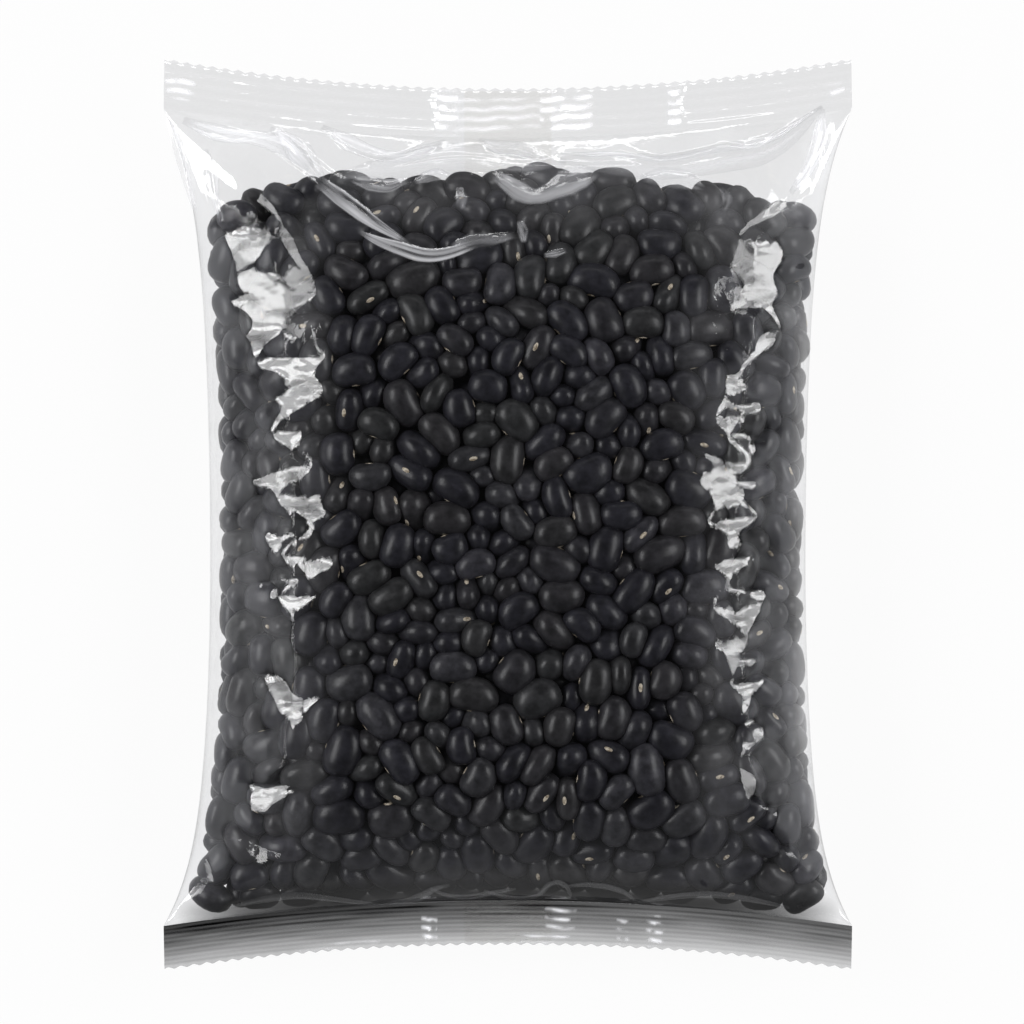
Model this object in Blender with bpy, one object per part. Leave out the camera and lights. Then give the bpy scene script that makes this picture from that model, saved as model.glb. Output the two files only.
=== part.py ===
"""A clear pillow bag packed with dried black beans, lying on its back.

Lengths are in metres. +X runs across the bag, +Y points to its top seal and +Z goes up through
the shown face. The origin is under the middle of the bag, on the surface that it lies on.

The bag is one solid: a core lofted from seal to seal, the back seam strip, the folds of slack
film above the fill, and the beans that show, all fused by one union. The crimped ends are then
cut to their zigzag edge.
"""

import math

import bmesh
import bpy
import numpy as np
from mathutils import Matrix, Vector

BAG_NAME = "bean_bag"

# Outline of the film
SEAL_HALF_WIDTH = 0.0750
WAIST_HALF_WIDTH = 0.0648
WAIST_Y = -0.0100
TOP_EDGE_Y = 0.0992
BOTTOM_EDGE_Y = -0.0994
TOP_EDGE_SAG = 0.0065
BOTTOM_EDGE_SAG = 0.0055
SAG_REACH = 0.0650

# Crimped end seals
TOP_SEAL_HEIGHT = 0.0108
BOTTOM_SEAL_HEIGHT = 0.0096
SEAL_THICKNESS = 0.0006
SEAL_LEVEL = 0.0150
SEAL_DROOP = 0.0035
RIBS_PER_SEAL = 5
RIB_HEIGHT = 0.0004
TOOTH_PITCH = 0.0028
TOOTH_DEPTH = 0.0007

# Filled body
BACK_LEVEL = 0.0005
FRONT_LEVEL = 0.0378
TOP_RISE = 0.0600
BOTTOM_RISE = 0.0350
BACK_TOP_RISE = 0.0450
BACK_BOTTOM_RISE = 0.0280
FRONT_RISE_POWERS = (0.7, 0.9)
BACK_RISE_POWERS = (0.5, 0.6)
FRONT_ROUNDNESS = 2.4
BACK_ROUNDNESS = 4.2
FLARE_BY_SQUARE = 0.45
FLARE_POWER = 7.0

# Seam strip down the back
SEAM_HALF_WIDTH = 0.0095
SEAM_THICKNESS = 0.0010

# Beans. Flat sides cut inside a round bean, so a little is added to each measure.
BEAN_LENGTH = 0.0101
BEAN_WIDTH = 0.0070
BEAN_THICKNESS = 0.0054
FACET_ALLOWANCE = (1.06, 1.18, 1.12)
BEAN_SIZE_SPREAD = 0.09
BEAN_SIDES = 6
BEAN_RINGS = 3
BEAN_TILT = math.radians(16.0)
FILL_LINE_Y = 0.0715
FILL_LINE_WAVE = 0.0020
FILL_LINE_WAVE_RATE = 70.0
THINNEST_FILL = 1.3 * BEAN_THICKNESS
FRONT_SPACING = 0.0096
BACK_SPACING = 0.0230
BACK_FACING = -0.6
FRONT_FACING = 0.3
CORE_INSET = 0.0028
CANDIDATES = 12000
SECTION_SAMPLES = 200
SEED = 7

# Mesh fineness of the core
COLUMNS = 12
BODY_STEPS = 15
FOLD_STEPS = 3
FOLD_TIP = 0.12

# Folds of slack film: both ends as (across, along) on the front, then half width and height
TOP_FOLDS = [
    ((-0.0715, 0.0850), (-0.0535, 0.0680), 0.0022, 0.0016),
    ((0.0690, 0.0850), (0.0500, 0.0655), 0.0022, 0.0016),
    ((-0.0410, 0.0720), (-0.0175, 0.0560), 0.0014, 0.0012),
    ((-0.0175, 0.0560), (0.0030, 0.0600), 0.0012, 0.0010),
    ((-0.0620, 0.0840), (-0.0250, 0.0760), 0.0013, 0.0010),
    ((0.0640, 0.0820), (0.0230, 0.0750), 0.0013, 0.0010),
    ((-0.0200, 0.0780), (0.0180, 0.0770), 0.0012, 0.0009),
]


def smooth_step(value, low, high):
    """Go smoothly from 0 at low to 1 at high."""
    t = min(max((value - low) / (high - low), 0.0), 1.0)
    return t * t * (3.0 - 2.0 * t)


def seal_lines():
    """Where the bottom and top seals meet the filled body, along the bag."""
    return BOTTOM_EDGE_Y + BOTTOM_SEAL_HEIGHT, TOP_EDGE_Y - TOP_SEAL_HEIGHT


def half_width(along):
    """Half the width of the film, narrowest at the waist and full at the seals."""
    bottom_line, top_line = seal_lines()
    line = top_line if along > WAIST_Y else bottom_line
    reach = min(abs((along - WAIST_Y) / (line - WAIST_Y)), 1.0)
    flare = FLARE_BY_SQUARE * reach ** 2 + (1.0 - FLARE_BY_SQUARE) * reach ** FLARE_POWER
    return WAIST_HALF_WIDTH + (SEAL_HALF_WIDTH - WAIST_HALF_WIDTH) * flare


def rise(along, bottom_length, top_length, powers):
    """Fullness of one face, from 0 at either seal line to 1 where the bag is full."""
    bottom_line, top_line = seal_lines()
    from_bottom = min(max((along - bottom_line) / bottom_length, 0.0), 1.0)
    from_top = min(max((top_line - along) / top_length, 0.0), 1.0)
    low_end = math.sin(0.5 * math.pi * from_bottom) ** powers[0]
    high_end = math.sin(0.5 * math.pi * from_top) ** powers[1]
    return min(low_end, high_end)


def middle_level(along):
    """Height of the plane between the two films, with the seals drooping to their edges."""
    bottom_line, top_line = seal_lines()
    past_top = max(along - top_line, 0.0) / TOP_SEAL_HEIGHT
    past_bottom = max(bottom_line - along, 0.0) / BOTTOM_SEAL_HEIGHT
    droop = SEAL_DROOP * max(past_top, past_bottom)
    return SEAL_LEVEL - droop + rib_offset(past_top, past_bottom)


def rib_offset(past_top, past_bottom):
    """Crimp wave, which is zero outside the seals."""
    depth = max(past_top, past_bottom)
    if depth <= 0.0:
        return 0.0
    return 0.5 * RIB_HEIGHT * (1.0 - math.cos(2.0 * math.pi * RIBS_PER_SEAL * depth))


def sagged(across, along):
    """Move a point along the bag by the bow of the seal that it is near."""
    bow = 1.0 - min(abs(across) / SEAL_HALF_WIDTH, 1.0) ** 2
    bottom_line, top_line = seal_lines()
    near_top = smooth_step(along, top_line - SAG_REACH, top_line)
    near_bottom = smooth_step(-along, -bottom_line - SAG_REACH, -bottom_line)
    return along + bow * (BOTTOM_EDGE_SAG * near_bottom - TOP_EDGE_SAG * near_top)


def skin_point(turn, along, front, inset=0.0):
    """Point of the front or back film. turn goes from 0 at the left edge to 1 at the right."""
    angle = math.pi * turn
    roundness = FRONT_ROUNDNESS if front else BACK_ROUNDNESS
    fold_in = inset * fullness(along)
    side = math.copysign(abs(math.cos(angle)) ** (2.0 / roundness), -math.cos(angle))
    crown = math.sin(angle) ** (2.0 / roundness) if 0.0 < turn < 1.0 else 0.0
    across = side * (half_width(along) - fold_in)
    if front:
        full = FRONT_LEVEL - SEAL_LEVEL - 0.5 * SEAL_THICKNESS
        height = full * rise(along, BOTTOM_RISE, TOP_RISE, FRONT_RISE_POWERS)
    else:
        full = SEAL_LEVEL - BACK_LEVEL - 0.5 * SEAL_THICKNESS
        height = full * rise(along, BACK_BOTTOM_RISE, BACK_TOP_RISE, BACK_RISE_POWERS)
    height = max(height - fold_in, 0.0) * crown + 0.5 * SEAL_THICKNESS
    level = middle_level(along) + (height if front else -height)
    return Vector((across, sagged(across, along), level))


def fullness(along):
    """1 where beans fill the bag, and 0 in the slack film and the seals."""
    bottom_line, _ = seal_lines()
    bean_end = smooth_step(along, bottom_line, bottom_line + BEAN_LENGTH)
    slack_end = 1.0 - smooth_step(along, FILL_LINE_Y - BEAN_LENGTH, FILL_LINE_Y)
    return bean_end * slack_end


def skin_normal(turn, along, front):
    """Outward direction of the film at a point."""
    step_turn = 0.004
    step_along = 0.0005
    low_turn = max(turn - step_turn, 0.0)
    high_turn = min(turn + step_turn, 1.0)
    sideways = skin_point(high_turn, along, front) - skin_point(low_turn, along, front)
    lengthways = skin_point(turn, along + step_along, front)
    lengthways = lengthways - skin_point(turn, along - step_along, front)
    normal = sideways.cross(lengthways).normalized()
    return normal if front else -normal


def stations():
    """Stations along the bag: two for each rib in the seals, closer near the seals elsewhere."""
    bottom_line, top_line = seal_lines()
    ribs = [step / (2 * RIBS_PER_SEAL) for step in range(1, 2 * RIBS_PER_SEAL)]
    shares = [0.5 - 0.5 * math.cos(math.pi * step / BODY_STEPS) for step in range(BODY_STEPS + 1)]
    rows = [BOTTOM_EDGE_Y - TOOTH_DEPTH]
    rows += [BOTTOM_EDGE_Y + BOTTOM_SEAL_HEIGHT * share for share in ribs]
    rows += [bottom_line + (top_line - bottom_line) * share for share in shares]
    rows += [TOP_EDGE_Y - TOP_SEAL_HEIGHT * share for share in reversed(ribs)]
    rows.append(TOP_EDGE_Y + TOOTH_DEPTH)
    return rows


def loft(rings, name):
    """Join closed rings of equal length by faces, and cap both ends."""
    mesh_data = bmesh.new()
    rows = [[mesh_data.verts.new(point) for point in ring] for ring in rings]
    count = len(rows[0])
    for low, high in zip(rows, rows[1:]):
        for index in range(count):
            after = (index + 1) % count
            mesh_data.faces.new((low[index], low[after], high[after], high[index]))
    mesh_data.faces.new(list(reversed(rows[0])))
    mesh_data.faces.new(rows[-1])
    bmesh.ops.triangulate(mesh_data, faces=mesh_data.faces[:])
    bmesh.ops.recalc_face_normals(mesh_data, faces=mesh_data.faces[:])
    mesh = bpy.data.meshes.new(name)
    mesh_data.to_mesh(mesh)
    mesh_data.free()
    return bpy.data.objects.new(name, mesh)


def build_core():
    """The body and both seals, a little inside the film where beans lie on it."""
    turns = [step / COLUMNS for step in range(COLUMNS + 1)]
    rings = []
    for along in stations():
        front = [skin_point(turn, along, True, CORE_INSET) for turn in turns]
        back = [skin_point(turn, along, False, CORE_INSET) for turn in turns]
        rings.append(list(reversed(front)) + back)
    return loft(rings, BAG_NAME)


def build_seam_strip():
    """The folded seam down the back, flat where the bag rests on it."""
    rings = []
    bottom_line, top_line = seal_lines()
    for along in stations():
        if not bottom_line < along < top_line:
            continue
        film = skin_point(0.5, along, False)
        low = film.z - BACK_LEVEL
        high = film.z + SEAM_THICKNESS + CORE_INSET * fullness(along)
        corners = ((-1, low), (1, low), (1, high), (-1, high))
        rings.append([
            Vector((side * SEAM_HALF_WIDTH, sagged(SEAM_HALF_WIDTH, along), level))
            for side, level in corners
        ])
    return loft(rings, "seam_strip")


def turn_for(across, along):
    """The turn at which the front film reaches a distance across the bag."""
    share = min(max(-across / half_width(along), -1.0), 1.0)
    cosine = math.copysign(abs(share) ** (0.5 * FRONT_ROUNDNESS), share)
    return math.acos(cosine) / math.pi


def build_fold(index, start, end, half_breadth, height):
    """A ridge of slack film: a spindle of four sides, lying half in the front."""
    rings = []
    for step in range(FOLD_STEPS + 1):
        share = step / FOLD_STEPS
        across = start[0] + (end[0] - start[0]) * share
        along = start[1] + (end[1] - start[1]) * share
        turn = turn_for(across, along)
        centre = skin_point(turn, along, True)
        normal = skin_normal(turn, along, True)
        run = Vector((end[0] - start[0], end[1] - start[1], 0.0)).normalized()
        side = normal.cross(run).normalized()
        swell = FOLD_TIP + (1.0 - FOLD_TIP) * math.sin(math.pi * share)
        rings.append([
            centre + side * half_breadth * swell,
            centre + normal * height * swell,
            centre - side * half_breadth * swell,
            centre - normal * height * swell,
        ])
    return loft(rings, f"fold_{index}")


def even_turns(front):
    """Turns, and the share of the way round the waist section at which each is reached."""
    turns = np.linspace(0.0, 1.0, SECTION_SAMPLES)
    points = np.array([skin_point(turn, WAIST_Y, front) for turn in turns])
    lengths = np.linalg.norm(np.diff(points, axis=0), axis=1)
    shares = np.concatenate([[0.0], np.cumsum(lengths)])
    return turns, shares / shares[-1]


def spread_beans(random):
    """Places for beans: an even spread over the film, closer together on the front."""
    bottom_line, _ = seal_lines()
    turn_tables = {front: even_turns(front) for front in (True, False)}
    places = []
    for _ in range(CANDIDATES):
        way_round, share, side, spin, tilt_a, tilt_b, size = random.random(7)
        along = bottom_line + (FILL_LINE_Y + FILL_LINE_WAVE - bottom_line) * share
        front = side < 0.5
        turns, shares = turn_tables[front]
        turn = float(np.interp(way_round, shares, turns))
        point = skin_point(turn, along, front)
        normal = skin_normal(turn, along, front)
        facing = smooth_step(normal.z, BACK_FACING, FRONT_FACING)
        spacing = BACK_SPACING + (FRONT_SPACING - BACK_SPACING) * facing
        opposite = skin_point(turn, along, not front)
        wave = FILL_LINE_WAVE * math.sin(FILL_LINE_WAVE_RATE * point.x)
        if along > FILL_LINE_Y + wave or abs(point.z - opposite.z) < THINNEST_FILL:
            continue
        if not front and abs(point.x) < SEAM_HALF_WIDTH + 0.5 * BEAN_WIDTH:
            continue
        if any((point - other[0]).length < 0.5 * (spacing + other[2]) for other in places):
            continue
        grow = 1.0 + BEAN_SIZE_SPREAD * (2.0 * size - 1.0)
        angles = (math.tau * spin, BEAN_TILT * (2.0 * tilt_a - 1.0), BEAN_TILT * (2.0 * tilt_b - 1.0))
        places.append((point, normal, spacing, grow, angles))
    return places


def build_bean(index, point, normal, grow, angles):
    """One bean of few sides, lying flat against the film with its long side along it."""
    mesh_data = bmesh.new()
    bmesh.ops.create_uvsphere(
        mesh_data, u_segments=BEAN_SIDES, v_segments=BEAN_RINGS, radius=0.5,
        matrix=Matrix.Rotation(0.5 * math.pi, 4, "Y"),
    )
    spin, tilt_a, tilt_b = angles
    measures = (BEAN_LENGTH, BEAN_WIDTH, BEAN_THICKNESS)
    sizes = [grow * measure * extra for measure, extra in zip(measures, FACET_ALLOWANCE)]
    size = Matrix.Diagonal((*sizes, 1.0))
    turned = Matrix.Rotation(spin, 4, "Z") @ Matrix.Rotation(tilt_a, 4, "X")
    turned = turned @ Matrix.Rotation(tilt_b, 4, "Y")
    facing = normal.to_track_quat("Z", "Y").to_matrix().to_4x4()
    centre = point - normal * 0.5 * BEAN_THICKNESS * grow
    centre.z = max(centre.z, 0.5 * BEAN_THICKNESS * grow + BACK_LEVEL)
    bmesh.ops.transform(
        mesh_data, matrix=Matrix.Translation(centre) @ facing @ turned @ size,
        verts=mesh_data.verts[:],
    )
    mesh = bpy.data.meshes.new(f"bean_{index}")
    mesh_data.to_mesh(mesh)
    mesh_data.free()
    return bpy.data.objects.new(f"bean_{index}", mesh)


def build_edge_cutter(name, edge, inward):
    """A slab with a zigzag side that trims one end seal to its teeth."""
    count = 2 * int(round(SEAL_HALF_WIDTH / TOOTH_PITCH)) + 2
    spare = 4.0 * TOOTH_PITCH
    points = []
    for step in range(2 * count + 1):
        across = (step / count - 1.0) * 0.5 * count * TOOTH_PITCH
        depth = TOOTH_DEPTH if step % 2 else 0.0
        points.append((across, sagged(across, edge + inward * depth)))
    far = edge - inward * spare
    points.append((points[-1][0], far))
    points.append((points[0][0], far))

    outline = bpy.data.curves.new(name, "CURVE")
    outline.dimensions = "2D"
    outline.fill_mode = "BOTH"
    outline.extrude = SEAL_LEVEL
    spline = outline.splines.new("POLY")
    spline.points.add(len(points) - 1)
    for target, (across, along) in zip(spline.points, points):
        target.co = (across, along, 0.0, 1.0)
    spline.use_cyclic_u = True
    curve_object = bpy.data.objects.new(name + "_outline", outline)
    curve_object.location.z = SEAL_LEVEL
    bpy.context.scene.collection.objects.link(curve_object)
    bpy.context.view_layer.update()

    evaluated = curve_object.evaluated_get(bpy.context.evaluated_depsgraph_get())
    mesh = bpy.data.meshes.new_from_object(evaluated)
    mesh_data = bmesh.new()
    mesh_data.from_mesh(mesh)
    bmesh.ops.remove_doubles(mesh_data, verts=mesh_data.verts[:], dist=1e-6)
    bmesh.ops.recalc_face_normals(mesh_data, faces=mesh_data.faces[:])
    mesh_data.to_mesh(mesh)
    mesh_data.free()
    cutter = bpy.data.objects.new(name, mesh)
    cutter.matrix_world = curve_object.matrix_world
    cutter.hide_render = True
    cutter.display_type = "WIRE"
    bpy.data.objects.remove(curve_object)
    return cutter


def apply_boolean(target, collection, operation):
    """Run one Boolean with a whole collection, apply it and remove the collection's objects."""
    modifier = target.modifiers.new(operation.lower(), "BOOLEAN")
    modifier.operation = operation
    modifier.operand_type = "COLLECTION"
    modifier.collection = collection
    modifier.solver = "MANIFOLD"
    bpy.context.view_layer.update()
    evaluated = target.evaluated_get(bpy.context.evaluated_depsgraph_get())
    result = bpy.data.meshes.new_from_object(evaluated)
    target.modifiers.remove(modifier)
    old = target.data
    target.data = result
    bpy.data.meshes.remove(old)
    for piece in list(collection.objects):
        bpy.data.objects.remove(piece)
    bpy.data.collections.remove(collection)


def keep_outer_shell(target):
    """Fill the hollows that fusing seals and drop loose scraps: keep the largest shell alone."""
    mesh_data = bmesh.new()
    mesh_data.from_mesh(target.data)
    unseen = set(mesh_data.faces)
    shells = []
    while unseen:
        shell = set()
        queue = [unseen.pop()]
        while queue:
            face = queue.pop()
            shell.add(face)
            for edge in face.edges:
                for neighbour in edge.link_faces:
                    if neighbour in unseen:
                        unseen.remove(neighbour)
                        queue.append(neighbour)
        shells.append(shell)
    shells.sort(key=len)
    for shell in shells[:-1]:
        bmesh.ops.delete(mesh_data, geom=list(shell), context="FACES")
    bmesh.ops.triangulate(mesh_data, faces=mesh_data.faces[:])
    mesh_data.to_mesh(target.data)
    mesh_data.free()


def centre_on_origin(target):
    """Put the middle of the bag's outline over the origin, with its lowest face at z = 0."""
    points = np.array([vertex.co for vertex in target.data.vertices])
    low = points.min(axis=0)
    high = points.max(axis=0)
    shift = Vector((-0.5 * (low[0] + high[0]), -0.5 * (low[1] + high[1]), -low[2]))
    target.data.transform(Matrix.Translation(shift))


def film_over_beans():
    """Near-black, glossy: the colour that the packed beans give the clear bag."""
    material = bpy.data.materials.new("film_over_beans")
    material.use_nodes = True
    shader = material.node_tree.nodes["Principled BSDF"]
    shader.inputs["Base Color"].default_value = (0.022, 0.021, 0.024, 1.0)
    shader.inputs["Roughness"].default_value = 0.35
    shader.inputs["Metallic"].default_value = 0.0
    return material


def new_collection(name):
    """A collection linked to the scene."""
    collection = bpy.data.collections.new(name)
    bpy.context.scene.collection.children.link(collection)
    return collection


def main():
    """Build the bag."""
    for old in list(bpy.data.objects):
        bpy.data.objects.remove(old)

    model = new_collection("bag_of_dried_beans")
    bag = build_core()
    model.objects.link(bag)

    fused = new_collection("fused")
    fused.objects.link(build_seam_strip())
    for index, fold in enumerate(TOP_FOLDS):
        fused.objects.link(build_fold(index, *fold))
    places = spread_beans(np.random.default_rng(SEED))
    for index, (point, normal, _, grow, angles) in enumerate(places):
        fused.objects.link(build_bean(index, point, normal, grow, angles))
    apply_boolean(bag, fused, "UNION")

    cutters = new_collection("cutters")
    cutters.objects.link(build_edge_cutter("top_teeth", TOP_EDGE_Y, -1.0))
    cutters.objects.link(build_edge_cutter("bottom_teeth", BOTTOM_EDGE_Y, 1.0))
    apply_boolean(bag, cutters, "DIFFERENCE")

    keep_outer_shell(bag)
    centre_on_origin(bag)
    bag.data.materials.clear()
    bag.data.materials.append(film_over_beans())


main()
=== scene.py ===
"""Looks of a bag of dried beans: a clear, sealed film bag that lies on its back, full of black beans.

Lengths are in millimetres until a mesh is made, and meshes are in metres, as the frame is.
+X is the bag's right, +Y its top seal and +Z its shown front.
"""

import math

import bpy
import numpy as np
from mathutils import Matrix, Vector
from mathutils.bvhtree import BVHTree
from mathutils.kdtree import KDTree


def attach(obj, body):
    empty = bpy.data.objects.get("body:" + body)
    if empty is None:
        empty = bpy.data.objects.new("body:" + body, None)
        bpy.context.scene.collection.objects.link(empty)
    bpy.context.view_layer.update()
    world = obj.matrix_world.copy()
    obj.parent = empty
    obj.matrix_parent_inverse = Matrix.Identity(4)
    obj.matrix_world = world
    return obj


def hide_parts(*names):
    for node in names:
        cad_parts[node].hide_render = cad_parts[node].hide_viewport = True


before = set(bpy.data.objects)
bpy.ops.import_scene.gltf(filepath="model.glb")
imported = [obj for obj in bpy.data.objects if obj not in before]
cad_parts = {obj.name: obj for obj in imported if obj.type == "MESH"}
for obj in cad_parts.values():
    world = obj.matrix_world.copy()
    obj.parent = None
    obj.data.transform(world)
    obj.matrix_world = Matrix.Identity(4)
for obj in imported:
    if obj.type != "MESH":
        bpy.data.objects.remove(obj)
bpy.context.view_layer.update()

NODE = "bean_bag"
BODY = "root"
METRES = 0.001
SEED = 11

# Bag: outline and levels, the same driving sizes as the solid's
SEAL_HALF_WIDTH = 75.0
WAIST_HALF_WIDTH = 64.8
WAIST_Y = -10.0
TOP_EDGE_Y = 99.2
BOTTOM_EDGE_Y = -99.4
TOP_EDGE_SAG = 6.5
BOTTOM_EDGE_SAG = 5.5
SAG_REACH = 65.0
TOP_SEAL_HEIGHT = 10.8
BOTTOM_SEAL_HEIGHT = 9.6
SEAL_LEVEL = 15.0
SEAL_DROOP = 3.5
BACK_LEVEL = 0.5
FRONT_LEVEL = 37.8
TOP_RISE = 60.0
BOTTOM_RISE = 35.0
BACK_TOP_RISE = 45.0
BACK_BOTTOM_RISE = 28.0
FRONT_RISE_POWERS = (0.7, 0.9)
BACK_RISE_POWERS = (0.5, 0.6)
FRONT_ROUNDNESS = 2.4
BACK_ROUNDNESS = 4.2
FLARE_BY_SQUARE = 0.45
FLARE_POWER = 7
TOP_LINE = TOP_EDGE_Y - TOP_SEAL_HEIGHT
BOTTOM_LINE = BOTTOM_EDGE_Y + BOTTOM_SEAL_HEIGHT

# Seals: crimped ribs with painted highlight lines and glints, and a zigzag cut edge
FILM_GAP = 0.16
RIBS_PER_SEAL = 5
RIB_HEIGHT = 0.26
RIB_SHEEN = 0.05
GLINT_SLANT = 0.16
GLINT_FADE = 0.08
TOOTH_PITCH = 2.8
TOOTH_DEPTH = 0.6
SEAM_HALF_WIDTH = 9.5

# Beans
BEAN_LENGTH = 9.9
BEAN_WIDTH = 7.4
BEAN_THICKNESS = 6.1
SIZE_SPREAD = 0.085
FILL_LINE_Y = 74.3
BEAN_COUNT = 1480
BEAN_CLEARANCE = 0.8
LEFT_CLEARANCE = 1.8
RIGHT_CLEARANCE = 0.2
FILM_CLEARANCE = 0.25
SHELL_DEPTH = 15.5
END_FULLNESS = 2.4
LENGTH_SPREAD = 0.055
WIDTH_SPREAD = 0.035
THICKNESS_SPREAD = 0.04
BEND = 0.45
BEND_SPREAD = 0.18
BEND_LIMITS = (0.05, 0.95)
BEND_MIDDLE = 0.35
TAPER_SPREAD = 0.035
SCAR_DIP = 0.22
SCAR_LENGTH = 2.3
SCAR_WIDTH = 0.92
SCAR_SIDES = 12
SCAR_RINGS = ((1.0, -0.08), (0.8, 0.07), (0.35, 0.10))
CORE_INSET = 8.5
FIRST_LAYER_DEPTH = 6.0

# Packing: the room's grid, the first tries, how beans grow, and how far one step pushes or turns them
PACKING_STEPS = 300
ROOM_LOW = (-80.0, -95.0, -4.0)
ROOM_HIGH = (80.0, 95.0, 44.0)
ROOM_SPACING = 1.9
TRIES = 60000
TRIES_LOW = (-76, -92, 0)
TRIES_HIGH = (76, 78, 38)
TRIES_CLEARANCE = 2.5
SIZE_LIMITS = (-2.2, 1.8)
START_SIZE = 0.72
GROWTH = 0.28
GROWING_SHARE = 0.45
PAIR_REACH = 11.5
PAIRS_RENEWED = 6
DEEPEST_PUSH = 3.0
DEEPEST_LIFT = 2.0
DEEPEST_TUCK = 3.0
FILM_PUSH = 1.3
SHIFT_GAIN, SHIFT_EASE = 1.25, 1.6
LONGEST_STEP = 0.9
LONGEST_TURN = 0.35
OUTWARD_PULLS = (0.10, 0.02)
LAST_PULL_SHARE = 0.8
TUCKED_FACING = -0.1
FRONT_FACING = -0.25

# Grid sizes
FRONT_COLUMNS, FRONT_ROWS = 262, 378
BACK_COLUMNS, BACK_ROWS = 140, 200
SEAL_ROWS, SEAL_COLUMNS = 44, 430
SEAM_ROWS, SEAM_COLUMNS = 400, 26
SEAM_DROP = 0.3
SEAM_END_GAP = 0.4

# Puckers of the seals: where across the bag, how high and how wide, in millimetres
TOP_PUCKERS = ((-14.6, 0.75, 1.7), (10.9, 0.8, 2.4), (37.4, 0.45, 1.2), (-60.0, 0.3, 2.0))
BOTTOM_PUCKERS = ((-16.2, 0.7, 1.8), (9.5, 0.55, 2.2), (-70.0, 0.4, 3.0))

# Painted glints of the seals: where across the bag, from and to which share of the seal's height,
# half width and strength
TOP_GLINTS = (
    (-13.3, 0.0, 1.0, 2.6, 0.95), (-2.4, 0.05, 0.85, 9.8, 0.3), (12.7, 0.08, 0.97, 5.7, 0.95),
    (36.3, 0.08, 0.97, 1.5, 0.9), (71.2, 0.25, 0.6, 2.4, 0.5), (-71.5, 0.2, 0.75, 3.2, 0.5),
    (-39.5, 0.8, 1.0, 0.8, 0.6),
)
BOTTOM_GLINTS = (
    (-17.2, 0.25, 1.0, 1.8, 0.8), (11.5, 0.1, 0.75, 3.4, 0.7), (9.0, 0.75, 1.0, 6.5, 0.8),
    (25.0, 0.3, 1.0, 1.4, 0.5), (32.0, 0.2, 1.0, 1.8, 0.7), (-37.0, 0.8, 1.0, 9.0, 0.6),
)

# Photograph: its scale, and the pixel over the bag's origin
PIXEL = 0.2174
MIDDLE_PIXEL = (508.0, 514.0)


def from_photo(px, py):
    """The bag's X and Y in millimetres under a pixel of the photograph."""
    return (px - MIDDLE_PIXEL[0]) * PIXEL, (MIDDLE_PIXEL[1] - py) * PIXEL


def smooth_step(value, low, high):
    share = np.clip((value - low) / (high - low), 0.0, 1.0)
    return share * share * (3.0 - 2.0 * share)


# Bag form


def half_width(along):
    line = np.where(along > WAIST_Y, TOP_LINE, BOTTOM_LINE)
    reach = np.minimum(np.abs((along - WAIST_Y) / (line - WAIST_Y)), 1.0)
    flare = FLARE_BY_SQUARE * reach**2 + (1.0 - FLARE_BY_SQUARE) * reach**FLARE_POWER
    return WAIST_HALF_WIDTH + (SEAL_HALF_WIDTH - WAIST_HALF_WIDTH) * flare


def rise(along, bottom_length, top_length, powers):
    """How far the film has risen from the seals: 0 at a seal's inner line, 1 over the full part."""
    from_bottom = np.clip((along - BOTTOM_LINE) / bottom_length, 0.0, 1.0)
    from_top = np.clip((TOP_LINE - along) / top_length, 0.0, 1.0)
    bottom = np.sin(0.5 * np.pi * from_bottom) ** powers[0]
    top = np.sin(0.5 * np.pi * from_top) ** powers[1]
    return np.minimum(bottom, top)


def middle_level(along):
    past_top = np.clip((along - TOP_LINE) / TOP_SEAL_HEIGHT, 0.0, 1.0)
    past_bottom = np.clip((BOTTOM_LINE - along) / BOTTOM_SEAL_HEIGHT, 0.0, 1.0)
    return SEAL_LEVEL - SEAL_DROOP * np.maximum(past_top, past_bottom)


def sag(across, along):
    """How far the two end edges bow in toward the middle of the bag."""
    bow = 1.0 - np.minimum(np.abs(across) / SEAL_HALF_WIDTH, 1.0) ** 2
    near_top = smooth_step(along, TOP_LINE - SAG_REACH, TOP_LINE)
    near_bottom = smooth_step(-along, -BOTTOM_LINE - SAG_REACH, -BOTTOM_LINE)
    return bow * (BOTTOM_EDGE_SAG * near_bottom - TOP_EDGE_SAG * near_top)


def unsagged(across, y):
    """The station along the bag whose sagged place is y."""
    along = np.array(y, float)
    for _ in range(6):
        along = y - sag(across, along)
    return along


def skin_height(x, y, front=True):
    """Level of the bare film over a point, without folds."""
    along = unsagged(x, y)
    roundness = FRONT_ROUNDNESS if front else BACK_ROUNDNESS
    share = np.minimum(np.abs(x) / half_width(along), 1.0)
    crown = (1.0 - share**roundness) ** (1.0 / roundness)
    if front:
        full = FRONT_LEVEL - SEAL_LEVEL
        lift = rise(along, BOTTOM_RISE, TOP_RISE, FRONT_RISE_POWERS)
        return middle_level(along) + full * lift * crown
    full = SEAL_LEVEL - BACK_LEVEL
    lift = rise(along, BACK_BOTTOM_RISE, BACK_TOP_RISE, BACK_RISE_POWERS)
    return middle_level(along) - full * lift * crown


def even_turns(count, roundness, height, denser=0.0):
    """Turns from the left side to the right one, even along a middle section or denser at the shoulders."""
    fine = np.linspace(0.0, 1.0, 4001)
    angle = np.pi * fine
    side = -np.sign(np.cos(angle)) * np.abs(np.cos(angle)) ** (2.0 / roundness)
    crown = np.sin(angle) ** (2.0 / roundness)
    steps = np.hypot(np.diff(side) * WAIST_HALF_WIDTH, np.diff(crown) * height)
    if denser:
        out = np.abs(side[1:]) * WAIST_HALF_WIDTH
        steps *= 1.0 + denser * smooth_step(out, 33.0, 38.0) * (1.0 - smooth_step(out, 60.0, 64.0))
    length = np.concatenate(([0.0], np.cumsum(steps)))
    return np.interp(np.linspace(0.0, length[-1], count), length, fine)


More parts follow.
